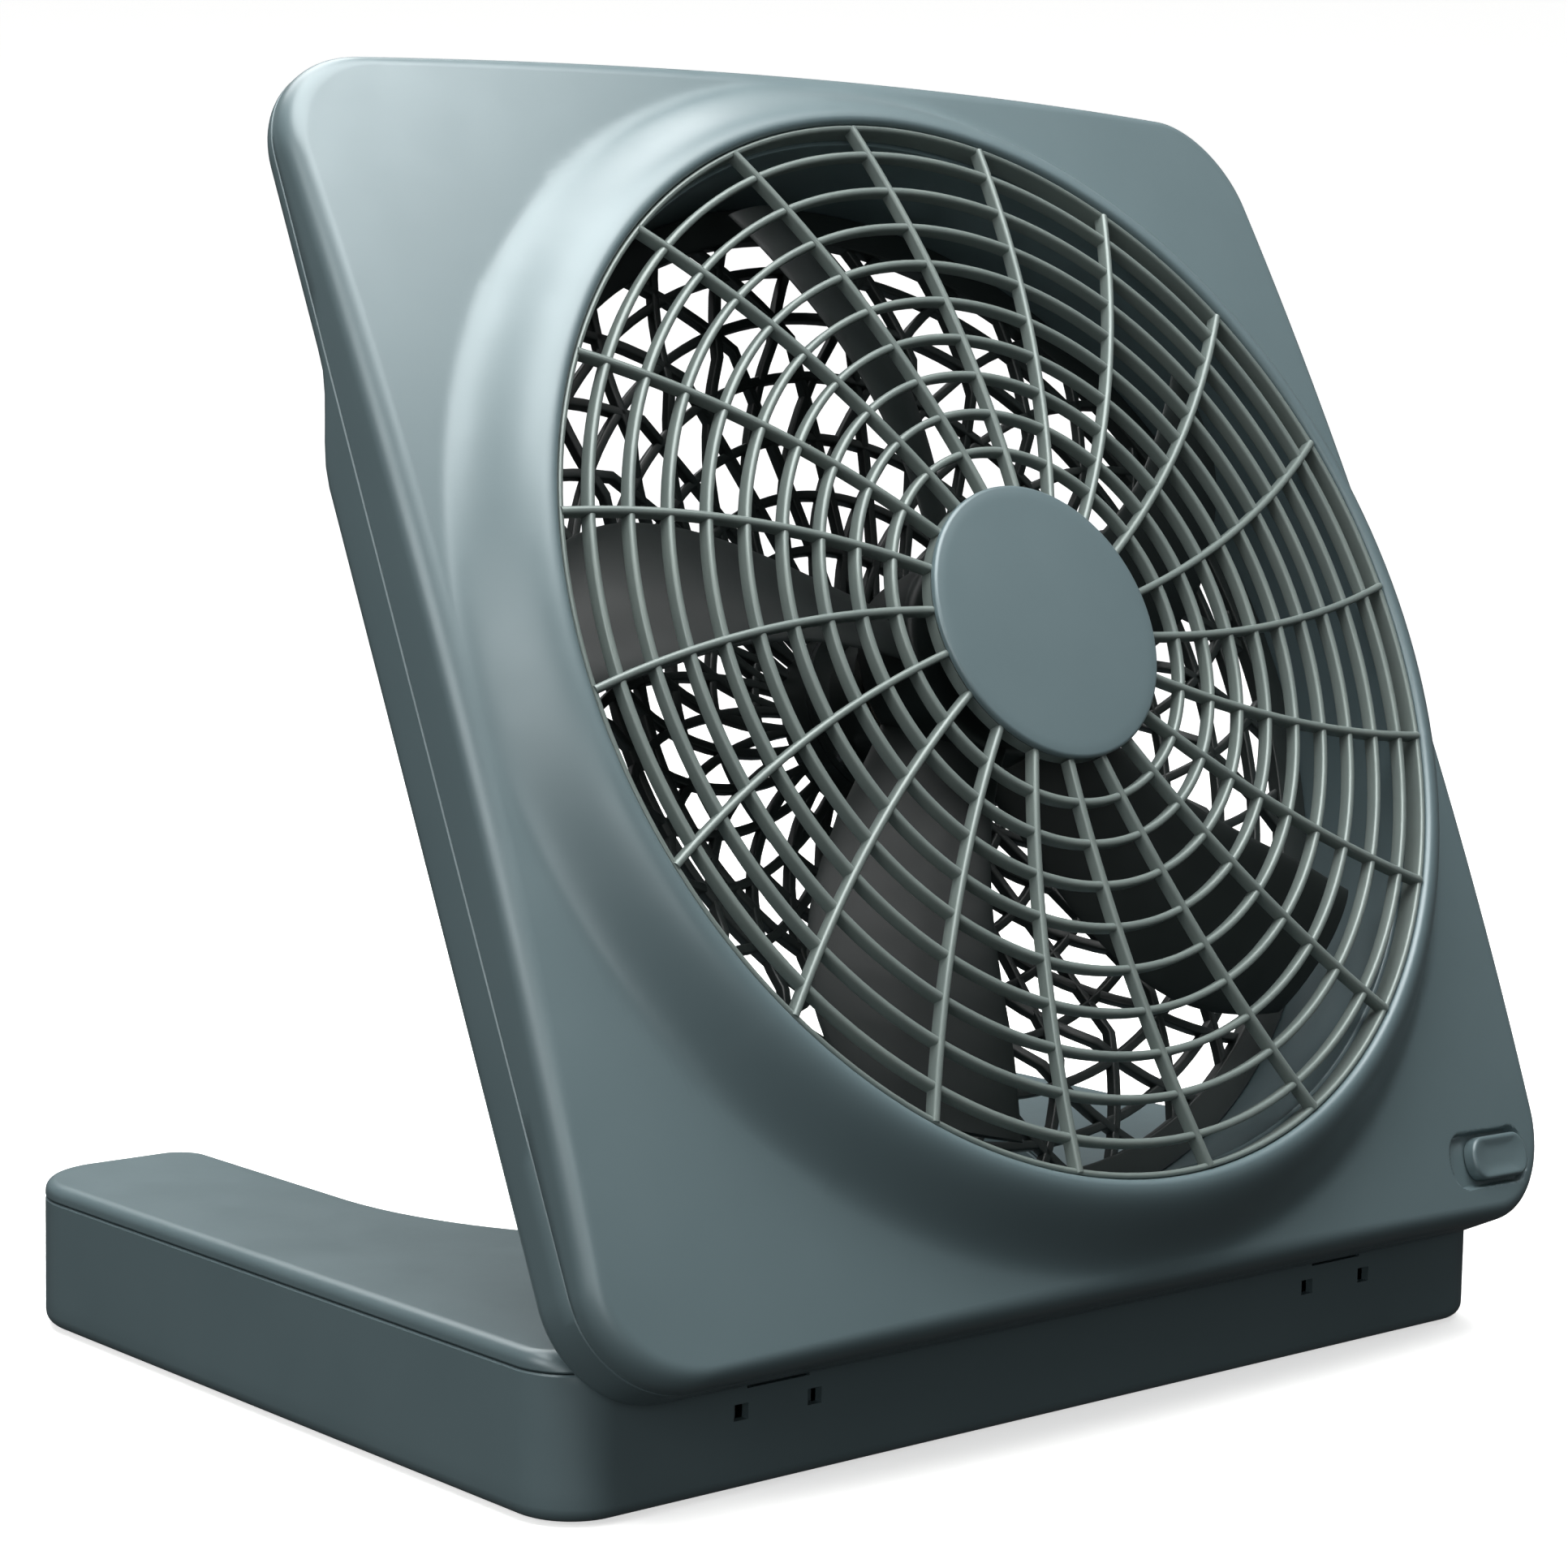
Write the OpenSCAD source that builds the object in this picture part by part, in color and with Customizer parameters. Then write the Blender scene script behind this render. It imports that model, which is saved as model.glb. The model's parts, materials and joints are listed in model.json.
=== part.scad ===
// Folding battery box fan: a square fan head on a U-shaped battery base.
// Millimetres. +Z is up and -Y is the side the air leaves. The origin is on the
// surface the fan stands on, straight under the middle of the hinge axis.

/* [Head] */
// Width of the fan head
panel_w = 321; // [300:1:330]
// Height of the fan head
panel_h = 319; // [300:1:330]
// Corner radius of the head's outline
panel_corner_r = 25; // [18:1:32]
// How far the front face bulges along the head's height
crown_v = 10.2; // [6:0.2:12]
// How far the front face bulges along the head's width
crown_h = 10.8; // [6:0.2:12]
// Rounding of the front face's outer edge
edge_r = 5; // [4:0.5:6]
// Wall thickness of the two head shells
shell_wall = 2.5; // [2:0.1:3]
// Depth of the head behind the corners of the front face
body_depth = 19.3; // [18:0.1:22]
// Depth of the thin flange along the top of the head
flange_depth = 10.3; // [9:0.1:12]
// Angle that the head leans back as the fan stands in use
lean = 25.2; // [0:0.1:60]

/* [Front grille] */
// Radius of the round opening in the front face
opening_r = 138.2; // [137:0.1:140]
// Distance of the opening's rim in front of the face's corners
rim_n = 27.2; // [26:0.1:29]
// Radius at which the raised ring round the opening starts
ring_foot_r = 157; // [154:1:160]
// Radius of the disc in the middle of the grille
hub_r = 35.3; // [32:0.1:40]
// Distance of the disc in front of the face's corners
hub_n = 34.6; // [33:0.1:37]
// Rings between the disc and the rim
ring_count = 9; // [6:1:10]
// Curved spokes of the front grille
spoke_count = 20; // [12:2:20]
// Radius that each spoke is bent to
spoke_bend_r = 300; // [260:5:400]
// Turn of the first spoke's inner end
spoke_phase = 10.7; // [0:0.1:18]
// Width of a ring or spoke
rib_w = 2.1; // [1.6:0.1:2.4]
// Depth of a ring or spoke
rib_t = 3.6; // [3:0.1:4]

/* [Rear grille] */
// Radius of the round opening in the rear shell
rear_open_r = 130; // [126:1:131]
// Radius of the dome that drops into the base's recess
dome_r = 98; // [90:1:98]
// Distance of the dome's tip behind the rear shell
dome_drop = 22; // [18:1:24]
// Curved bars that lean each way
lattice_count = 14; // [8:1:16]

/* [Fan] */
// Number of blades
blade_count = 5; // [3:1:6]
// Radius of the blade tips
blade_r = 125; // [118:1:127]
// Turn of the first blade
blade_phase = -58; // [-90:1:90]

/* [Base] */
// Width of the base
base_w = 316.5; // [310:0.5:320]
// Depth of the base from front to back
base_d = 234.5; // [230:0.5:240]
// Height of the base's top face above the surface it stands on
base_h = 39.05; // [39.05:0.05:40]
// Height of the line where the two base shells meet
parting_z = 34.5; // [33:0.1:35]
// Radius of the recess between the base's arms
recess_r = 104.5; // [103:0.1:105]
// Radius of the front corners seen from above
base_front_r = 16; // [12:1:20]
// Radius of the rear corners seen from above
base_rear_r = 22; // [16:1:24]
// Radius of the arms' inner rear corners
arm_tip_r = 10; // [8:1:12]
// Wall thickness of the base shells
base_wall = 2.2; // [2:0.1:2.4]

/* [Hinge] */
// Height of the hinge axis
hinge_z = 30; // [30:0.1:31]
// Distance of the two hinge lugs from the middle
lug_x = 95.6; // [94:0.1:97]
// Width of a hinge lug
lug_w = 18; // [16:0.5:20]
// Radius of a hinge lug
lug_r = 5; // [4.5:0.1:5.2]
// Radius of the hinge pins
pin_r = 2; // [1.8:0.1:2.2]

/* [Batteries] */
// Radius of a D cell
cell_r = 16.6; // [16.2:0.1:16.8]
// Length of a D cell
cell_len = 61.5; // [60:0.1:61.5]
// Cells in each arm
cells_per_arm = 3; // [2:1:3]

/* [Switch] */
// Length of the switch's recess
switch_len = 34; // [32:1:36]
// Width of the switch's recess
switch_w = 14; // [12:0.5:15]
// Travel of the switch's knob
switch_travel = 8; // [6:0.5:8]

/* [Hidden] */
$fn = 96;

// Colours
slate = "#5d7378";
slate_dark = "#465455";
grille_grey = "#7f8c88";
blade_dark = "#2e3837";
rubber_black = "#202222";
steel = "silver";
nickel = "#c9c8c0";
board_green = "#2f5d43";

// Small clearances shared by pieces that meet or slide
sliver = 0.05;
slide_gap = 0.15;
overlap = 1;

// Base
foot_proud = 0.8;
floor_t = 2;
base_front = hinge_z - base_h;
base_rear = base_front + base_d;
hinge_r = base_h - hinge_z;
cover_t = 1.85;
cover_edge_r = 3;
cover_edge_steps = 4;

// Head, in a frame on the hinge axis with the head upright
fold_gap = 0.5;
corner_plane = hinge_r + fold_gap + body_depth;
grille_z = panel_h / 2 - hinge_r;
half_w = panel_w / 2;
half_h = panel_h / 2;
shell_seam_n = -5;
seam_gap = 0.2;
shoulder_low = 58;
shoulder_high = 86;
drum_r = 140;
shroud_r = 134;
shroud_wall = 1.8;
shroud_front_n = 20;
lip_r = opening_r - 1.6;
lip_back_n = 19.5;
rim_clear = 0.2;
rim_wall = 2.8;
disc_sunk = 0.7;
bezel_angles = [
    for (q = [0:3], a = [0:3:87])
        if (a % 6 == 0 || (a > 36 && a < 54)) 90 * q + a
];
face_steps = 11;
inner_steps = 5;

// Rear grille
rear_rib_t = 3;
rear_rib_w = 2.2;
rear_rim_w = 5;
collar_r = 25;
rear_ring_radii = [34, 48, 62, 76, 90, 104, 117];
lattice_bend_r = 95;

// Motor, along the fan's axis
motor_r = 16;
motor_wall = 1.2;
motor_front_n = -2;
motor_rear_n = -34;
end_cap_t = 2;
housing_clear = 0.3;
housing_wall = 2.6;
housing_rear_n = -39;
flange_n = -27.8;
flange_t = 2;
shaft_r = 1.15;
shaft_clear = 0.05;
bushing_r = 3;
motor_screw_ring_r = 22.2;
motor_screw_angles = [90, 210, 330];

// Blades
blade_hub_r = 27;
blade_hub_wall = 2;
blade_hub_rear_n = -6;
blade_hub_front_n = 14;
blade_mid_n = 4;
blade_t = 1.8;
blade_root_r = 26;
root_chord = 32;
chord_growth = 22;

// Batteries
cell_x = 131.4;
cell_z = 19.9;
cell_start_y = 24.8;
cell_end_y = cell_start_y + cells_per_arm * cell_len;
nub_r = 4.75;
nub_len = 1.5;
contact_t = 0.6;
contact_side = 16;
spring_wire_r = 0.6;
spring_end_y = cell_end_y + 12;
bay_front_y = 22;
bay_wall = 2;

// Power socket
jack_y = 11;
jack_z = 18;
jack_r = 4.5;

// Battery doors
door_half_w = 20.2;
door_tongue = 2.2;
door_plate_t = 1.2;
door_tongue_t = 0.75;
door_front_y = 27;

// Feet and screws
foot_r = 6;
foot_sunk = 0.8;
front_foot_x = 114;
front_foot_y = 6;
door_foot_y = 206;
base_screw_places = [[30, 20], [136, 4], [90, 55]];
shell_screw_places = [[142, 141], [148.5, -30], [110, -148], [70, 150]];
bezel_post_r = 4;
screw_head_r = 3.2;
screw_shank_r = 1.25;
screw_pilot_r = 1.3;
screw_well_r = 3.6;
base_well_z = foot_proud + 0.9;
shell_well_depth = 2.2;

// Switch, in a frame tilted to lie along the front face
switch_u = 133;
switch_v = -144;
switch_n = 5.3;
switch_tilt = [6.5, 6.3, 0];
recess_depth = 2.4;
pan_wall = 1.5;
knob_len = 25;
knob_w = 11.4;
knob_rest = 4;
knob_proud = 1.3;
stem_len = 5.6;
stem_w = 3.4;
switch_post_x = 14.2;
switch_post_end = -13;
board_t = 1.6;

// ---------------------------------------------------------------- places

// The head's own frame: on the hinge axis, leaning back with the head
module head_frame() {
    translate([0, 0, hinge_z])
        rotate([-lean, 0, 0])
            children();
}

// The front face's frame: X across, Y up the head, Z forward from the corners
module panel_frame() {
    head_frame()
        translate([0, -corner_plane, grille_z])
            rotate([90, 0, 0])
                children();
}

// The switch's frame: Z is the front face's own normal at the switch
module switch_frame() {
    panel_frame()
        translate([switch_u, switch_v, switch_n])
            rotate(switch_tilt)
                children();
}

module both_sides() {
    children();
    mirror([1, 0, 0])
        children();
}

// ---------------------------------------------------------------- shared shapes

module tube(r_out, r_in, h) {
    difference() {
        cylinder(r = r_out, h = h);
        translate([0, 0, -overlap])
            cylinder(r = r_in, h = h + 2 * overlap);
    }
}

module rounded_rect(w, h, r) {
    square([w - 2 * r, h], center = true);
    square([w, h - 2 * r], center = true);
    for (x = [-1, 1], y = [-1, 1])
        translate([x * (w / 2 - r), y * (h / 2 - r)])
            circle(r = r);
}

// Pan-head screw, pointing along +Z from under its head
module screw(head_r, head_t, shank_r, shank_len) {
    translate([0, 0, -head_t])
        difference() {
            cylinder(r = head_r, h = head_t);
            for (a = [0, 90])
                rotate([0, 0, a])
                    cube([head_r * 1.2, 0.7, 1.2], center = true);
        }
    cylinder(r = shank_r, h = shank_len);
}

function smooth(t) = let (c = max(0, min(1, t))) c * c * (3 - 2 * c);

// Triangles of a closed surface whose rings of points are joined in order;
// both the rings and the points in each ring run round and meet again
function torus_faces(rings, count) = [
    for (i = [0:rings - 1], j = [0:count - 1])
        let (
            a = i * count + j,
            b = i * count + (j + 1) % count,
            c = ((i + 1) % rings) * count + (j + 1) % count,
            d = ((i + 1) % rings) * count + j
        )
        each [[a, c, b], [a, d, c]]
];

// Triangles of a tube whose rings are joined in order and whose ends are closed
function tube_faces(rings, count) = concat(
    [
        for (i = [0:rings - 2], j = [0:count - 1])
            let (
                a = i * count + j,
                b = i * count + (j + 1) % count,
                c = (i + 1) * count + (j + 1) % count,
                d = (i + 1) * count + j
            )
            each [[a, b, c], [a, c, d]]
    ],
    [[for (j = [count - 1:-1:0]) j]],
    [[for (j = [0:count - 1]) (rings - 1) * count + j]]
);

// ---------------------------------------------------------------- base

// The base seen from above, drawn in by inset all round
module base_plan(inset = 0) {
    arm_x = recess_r + inset;
    tip = arm_tip_r - inset;
    tip_y = base_rear - arm_tip_r;
    difference() {
        base_outline(inset);
        translate([0, grille_z])
            circle(r = arm_x);
        translate([-arm_x, grille_z])
            square([2 * arm_x, base_d]);
        translate([-arm_x - tip, tip_y])
            square([2 * (arm_x + tip), base_d]);
    }
    both_sides()
        translate([arm_x + tip, tip_y])
            circle(r = tip);
}

module base_outline(inset) {
    front_r = base_front_r - inset;
    rear_r = base_rear_r - inset;
    half = base_w / 2 - inset;
    front = base_front + inset;
    rear = base_rear - inset;
    translate([-half, front + front_r])
        square([2 * half, rear - rear_r - front - front_r]);
    translate([-half + front_r, front])
        square([2 * (half - front_r), front_r + overlap]);
    translate([-half + rear_r, rear - rear_r - overlap])
        square([2 * (half - rear_r), rear_r + overlap]);
    both_sides() {
        translate([half - front_r, front + front_r])
            circle(r = front_r);
        translate([half - rear_r, rear - rear_r])
            circle(r = rear_r);
    }
}

// What the round top edge along the hinge takes away from the base
module front_round_cut(r) {
    rotate([90, 0, 90])
        translate([0, 0, -base_w])
            linear_extrude(2 * base_w)
                difference() {
                    translate([-2 * hinge_r, hinge_z])
                        square([2 * hinge_r, 2 * hinge_r]);
                    translate([0, hinge_z])
                        circle(r = r);
                }
}

// Block of the base between two heights, drawn in by inset all round
module base_block(inset, low, high) {
    difference() {
        translate([0, 0, low])
            linear_extrude(high - low)
                base_plan(inset);
        front_round_cut(hinge_r - inset);
    }
}

// The two slots through which the hinge lugs enter the base
module lug_slots() {
    slot_w = lug_w + 0.6;
    low = lug_r + 0.6;
    both_sides()
        translate([lug_x - slot_w / 2, base_front - overlap, hinge_z - low])
            cube([slot_w, hinge_r + overlap + low, 2 * hinge_r]);
}

module at_base_screws() {
    both_sides()
        for (p = base_screw_places)
            translate([p[0], p[1], 0])
                children();
}

module base_tray() {
    hole_w = 4.2;
    hole_h = 3.8;
    hole_z = 19.2;
    hole_x = 11;
    door_w = 2 * door_half_w;
    groove_w = door_w + 2 * door_tongue;
    groove_z = foot_proud + door_plate_t - slide_gap;
    groove_h = door_tongue_t + 2 * slide_gap;
    rail_t = 1.2;
    boss_w = 4;
    boss_r = 5;
    color(slate_dark)
    difference() {
        union() {
            difference() {
                base_block(0, foot_proud, parting_z);
                base_block(base_wall, foot_proud + floor_t, base_h);
            }
            both_sides() {
                // Bulkhead at the front of the battery bay
                translate([recess_r + overlap, bay_front_y, foot_proud])
                    cube([base_w / 2 - recess_r - 2 * overlap, bay_wall, parting_z - foot_proud]);
                // Rails that the battery door runs under
                for (x = [[recess_r + overlap, cell_x - door_half_w + 0.8],
                          [cell_x + door_half_w - 0.8, base_w / 2 - overlap]])
                    translate([x[0], bay_front_y, foot_proud + floor_t - sliver])
                        cube([
                            x[1] - x[0],
                            base_rear - bay_front_y - base_rear_r,
                            groove_z + groove_h + rail_t - foot_proud - floor_t
                        ]);
                // Ears that hold the hinge pin, beside each lug slot
                for (side = [-1, 1])
                    translate([lug_x + side * (lug_w / 2 + boss_w / 2 + 0.4) - boss_w / 2, 0, 0]) {
                        translate([0, -boss_r, foot_proud])
                            cube([boss_w, 2 * boss_r, hinge_z - foot_proud]);
                        translate([0, 0, hinge_z])
                            rotate([0, 90, 0])
                                cylinder(r = boss_r - 0.6, h = boss_w);
                    }
            }
        }
        front_round_cut(hinge_r);
        lug_slots();
        both_sides() {
            // Bores for the hinge pin
            translate([lug_x - lug_w, 0, hinge_z])
                rotate([0, 90, 0])
                    cylinder(r = pin_r + 0.02, h = 2 * lug_w);
            // Small square core holes in the front wall
            for (side = [-1, 1])
                translate([
                    lug_x + side * hole_x - hole_w / 2,
                    base_front - overlap,
                    hole_z - hole_h / 2
                ])
                    cube([hole_w, base_wall + overlap + 0.6, hole_h]);
            // Mouth and grooves of the battery door
            translate([cell_x - door_half_w - slide_gap, door_front_y - slide_gap, 0])
                cube([door_w + 2 * slide_gap, base_d, groove_z + groove_h]);
            translate([cell_x - groove_w / 2 - slide_gap, door_front_y - slide_gap, groove_z])
                cube([groove_w + 2 * slide_gap, base_d, groove_h]);
            translate([front_foot_x, front_foot_y, 0])
                cylinder(r = foot_r + sliver, h = foot_proud + foot_sunk);
        }
        at_base_screws() {
            cylinder(r = screw_well_r, h = base_well_z);
            cylinder(r = 1.9, h = foot_proud + floor_t + overlap);
        }
        translate([base_w / 2 - 4 * base_wall, jack_y, jack_z])
            rotate([0, 90, 0])
                cylinder(r = jack_r + 0.1, h = 5 * base_wall);
    }
}

module base_cover() {
    post_low = foot_proud + floor_t + 0.2;
    color(slate)
    difference() {
        union() {
            difference() {
                base_cover_block();
                base_block(base_wall, 0, base_h - cover_t);
            }
            at_base_screws()
                translate([0, 0, post_low])
                    cylinder(r = screw_well_r, h = base_h - cover_t - post_low + 0.4);
        }
        front_round_cut(hinge_r);
        lug_slots();
        at_base_screws()
            cylinder(r = screw_pilot_r, h = parting_z);
    }
}

// How far the cover's rounded top edge draws in at a height above its start,
// to a tenth of a millimetre
function cover_edge_inset(h) = round(10 * (cover_edge_r - sqrt(pow(cover_edge_r, 2) - h * h))) / 10;

// Solid block of the cover, its top edge rounded in thin steps
module base_cover_block() {
    flat_top = base_h - cover_edge_r;
    step = cover_edge_r / cover_edge_steps;
    translate([0, 0, parting_z])
        linear_extrude(flat_top - parting_z)
            base_plan();
    for (i = [0:cover_edge_steps - 1])
        translate([0, 0, flat_top + i * step])
            linear_extrude(step)
                base_plan(cover_edge_inset((i + 0.5) * step));
}

module hinge_pins() {
    pin_len = lug_w + 9;
    color(steel)
    both_sides()
        translate([lug_x - pin_len / 2, 0, hinge_z])
            rotate([0, 90, 0])
                cylinder(r = pin_r, h = pin_len);
}

module base_screws() {
    color(steel)
    at_base_screws()
        translate([0, 0, base_well_z])
            screw(screw_head_r, 0.8, screw_shank_r, 14);
}

module foot_pad() {
    rotate_extrude()
        polygon([
            [0, 0], [foot_r - 1, 0], [foot_r - 0.4, 0.3],
            [foot_r, 0.8], [foot_r, foot_proud + foot_sunk], [0, foot_proud + foot_sunk]
        ]);
}

module front_feet() {
    color(rubber_black)
    both_sides()
        translate([front_foot_x, front_foot_y, 0])
            foot_pad();
}

// One row of cells standing end to end, their raised contacts to the front
module battery_row() {
    nub_gap = sliver;
    for (i = [0:cells_per_arm - 1])
        translate([cell_x, cell_start_y + i * cell_len, cell_z])
            rotate([-90, 0, 0]) {
                translate([0, 0, nub_gap])
                    cylinder(r = nub_r, h = nub_len);
                translate([0, 0, nub_len])
                    rotate_extrude()
                        polygon([
                            [0, 0], [cell_r - 1.5, 0], [cell_r, 1.2],
                            [cell_r, cell_len - nub_len - 1], [cell_r - 1, cell_len - nub_len],
                            [0, cell_len - nub_len]
                        ]);
            }
}

module battery_cells_left() {
    color("#b8860b")
    mirror([1, 0, 0])
        battery_row();
}

module battery_cells_right() {
    color("#b8860b")
    battery_row();
}

// Conical spring behind each row of cells, a round wire wound as a helix
module battery_springs() {
    turns = 3.5;
    wide_r = 7.5;
    narrow_r = 4;
    sides = 6;
    steps = 42;
    start_y = cell_end_y + spring_wire_r + 0.1;
    run = spring_end_y - start_y - spring_wire_r - contact_t - 0.1;
    points = [
        for (i = [0:steps], k = [0:sides - 1])
            let (
                t = i / steps,
                a = 360 * turns * t,
                r = narrow_r + (wide_r - narrow_r) * t + spring_wire_r * cos(360 * k / sides)
            )
            [r * cos(a), start_y + run * t - spring_wire_r * sin(360 * k / sides), r * sin(a)]
    ];
    color(steel)
    both_sides()
        translate([cell_x, 0, cell_z])
            polyhedron(points, tube_faces(steps + 1, sides));
}

module battery_contacts() {
    rear_y = spring_end_y - contact_t;
    front_y = bay_front_y + bay_wall + 0.1;
    color(nickel)
    both_sides()
        for (y = [front_y, rear_y])
            translate([cell_x, y + contact_t / 2, cell_z])
                rotate([90, 0, 0])
                    linear_extrude(contact_t, center = true)
                        rounded_rect(contact_side, contact_side, 2);
}

// Round power socket in the right side of the base
module power_jack() {
    barrel_len = 12;
    bore_depth = 9;
    bore_r = 3.1;
    color(rubber_black)
    translate([base_w / 2 + 0.4 - barrel_len, jack_y, jack_z])
        rotate([0, 90, 0]) {
            difference() {
                cylinder(r = jack_r, h = barrel_len);
                translate([0, 0, barrel_len - bore_depth])
                    cylinder(r = bore_r, h = bore_depth + overlap);
            }
            translate([0, 0, overlap])
                cylinder(r = 1, h = barrel_len - 3);
        }
}

// Sliding door under the right arm; its tongues run in the tray's grooves
module battery_door() {
    grip_y = 188;
    color(slate_dark)
    difference() {
        intersection() {
            union() {
                translate([cell_x - door_half_w, door_front_y, foot_proud])
                    cube([2 * door_half_w, base_d, door_plate_t + sliver]);
                translate([
                    cell_x - door_half_w - door_tongue,
                    door_front_y,
                    foot_proud + door_plate_t
                ])
                    cube([2 * (door_half_w + door_tongue), base_d, door_tongue_t]);
            }
            linear_extrude(base_h)
                base_plan(slide_gap);
        }
        // Finger grooves
        for (i = [0:4])
            translate([cell_x - 9, grip_y - 4 * i, foot_proud - sliver])
                cube([18, 1.6, 0.6]);
        translate([cell_x, door_foot_y, 0])
            cylinder(r = foot_r + sliver, h = foot_proud + foot_sunk);
    }
}

module battery_door_left() {
    mirror([1, 0, 0])
        battery_door();
}

module battery_door_right() {
    battery_door();
}

module door_foot() {
    color(rubber_black)
    translate([cell_x, door_foot_y, 0])
        foot_pad();
}

module door_foot_left() {
    mirror([1, 0, 0])
        door_foot();
}

module door_foot_right() {
    door_foot();
}

// ---------------------------------------------------------------- head shells

module panel_outline(inset = 0) {
    rounded_rect(panel_w - 2 * inset, panel_h - 2 * inset, panel_corner_r - inset);
}

// Distance from the middle of the face to its outline, in direction a
function edge_dist(a) =
    let (
        c = abs(cos(a)),
        s = abs(sin(a)),
        side = c > 0.001 ? half_w / c : 1e6,
        top = s > 0.001 ? half_h / s : 1e6,
        cx = half_w - panel_corner_r,
        cy = half_h - panel_corner_r,
        along = c * cx + s * cy,
        corner = along + sqrt(max(0, along * along - cx * cx - cy * cy + pow(panel_corner_r, 2)))
    )
    side * s <= cy ? side : top * c <= cx ? top : corner;

// Height of the front face at radius r and direction a: a shallow crown that
// rises smoothly to the flat rim of the opening
function face_n(r, a) =
    let (
        u = r * cos(a),
        w = r * sin(a),
        crown = crown_v * (1 - pow(w / half_h, 2)) + crown_h * (1 - pow(u / half_w, 2)),
        lift = smooth((ring_foot_r - r) / (ring_foot_r - opening_r))
    )
    crown * (1 - lift) + rim_n * lift;

// One slice through the bezel, from the opening over the face to the side wall
// and back along the inside
function bezel_slice(a) =
    let (
        edge = edge_dist(a),
        round_r = edge - edge_r,
        inner_r = opening_r + 3,
        side_r = edge - shell_wall
    )
    concat(
        [
            [lip_r, lip_back_n], [lip_r, rim_n - 0.7], [lip_r + 0.5, rim_n - 0.1]
        ],
        [
            for (i = [0:face_steps])
                let (r = opening_r + (round_r - opening_r) * pow(i / face_steps, 1.5))
                [r, face_n(r, a)]
        ],
        [
            for (b = [30:30:90])
                [round_r + edge_r * sin(b), face_n(round_r + edge_r * sin(b), a) - edge_r * (1 - cos(b))]
        ],
        [
            [edge, shell_seam_n], [side_r, shell_seam_n],
            [side_r, face_n(edge, a) - edge_r - 0.5]
        ],
        [
            for (i = [inner_steps:-1:0])
                let (r = inner_r + (round_r - inner_r) * pow(i / inner_steps, 1.3))
                [r, face_n(r, a) - shell_wall]
        ],
        [
            [lip_r + 1.8, rim_n - 2.6], [lip_r + 1.8, lip_back_n]
        ]
    );

module bezel_skin() {
    points = [
        for (a = bezel_angles, p = bezel_slice(a))
            [p[0] * cos(a), p[0] * sin(a), p[1]]
    ];
    polyhedron(points, torus_faces(len(bezel_angles), len(bezel_slice(0))));
}

module at_shell_screws() {
    both_sides()
        for (p = shell_screw_places)
            translate([p[0], p[1], 0])
                children();
}

module front_bezel() {
    color(slate) {
        panel_frame()
            difference() {
                union() {
                    difference() {
                        bezel_skin();
                        switch_cut(switch_len, switch_w, -recess_depth - 3, 12);
                    }
                    // Posts that the shell screws bite into
                    for (p = shell_screw_places, side = [-1, 1])
                        translate([side * p[0], p[1], shell_seam_n])
                            cylinder(r = bezel_post_r, h = bezel_post_top(p) - shell_seam_n, $fn = 32);
                    switch_pan();
                }
                at_shell_screws()
                    translate([0, 0, shell_seam_n - overlap])
                        cylinder(r = screw_pilot_r, h = 8);
            }
    }
}

function face_at(p) = face_n(norm(p), atan2(p[1], p[0]));

// Top of a screw post, inside the face's wall all round the post, to a tenth
// of a millimetre
function bezel_post_top(p) =
    floor(10 * (min([for (a = [0:30:330]) face_at(p + bezel_post_r * [cos(a), sin(a)])]) - 1.2)) / 10;

module switch_shape(length, width) {
    rounded_rect(length, width, 4.5);
}

module switch_place() {
    translate([switch_u, switch_v, switch_n])
        rotate(switch_tilt)
            children();
}

module switch_cut(length, width, low, high) {
    switch_place()
        translate([0, 0, low])
            linear_extrude(high - low)
                switch_shape(length, width);
}

// Sunk pan that the knob slides in, with two posts for the switch board
module switch_pan() {
    pan_low = -recess_depth - 1.6;
    slot_len = stem_len + switch_travel + 0.6;
    slot_w = stem_w + 0.6;
    switch_place()
        difference() {
            union() {
                translate([0, 0, pan_low])
                    linear_extrude(-pan_low - 0.9)
                        switch_shape(switch_len + 2 * pan_wall, switch_w + 2 * pan_wall);
                for (x = [-1, 1])
                    translate([x * switch_post_x, 0, switch_post_end])
                        cylinder(r = 2.6, h = pan_low - switch_post_end + 0.4, $fn = 32);
            }
            translate([0, 0, -recess_depth])
                linear_extrude(2 * recess_depth)
                    switch_shape(switch_len, switch_w);
            translate([0, 0, pan_low - overlap])
                linear_extrude(4)
                    square([slot_len, slot_w], center = true);
            for (x = [-1, 1])
                translate([x * switch_post_x, 0, switch_post_end - overlap])
                    cylinder(r = 1.1, h = 7);
        }
}

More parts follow.
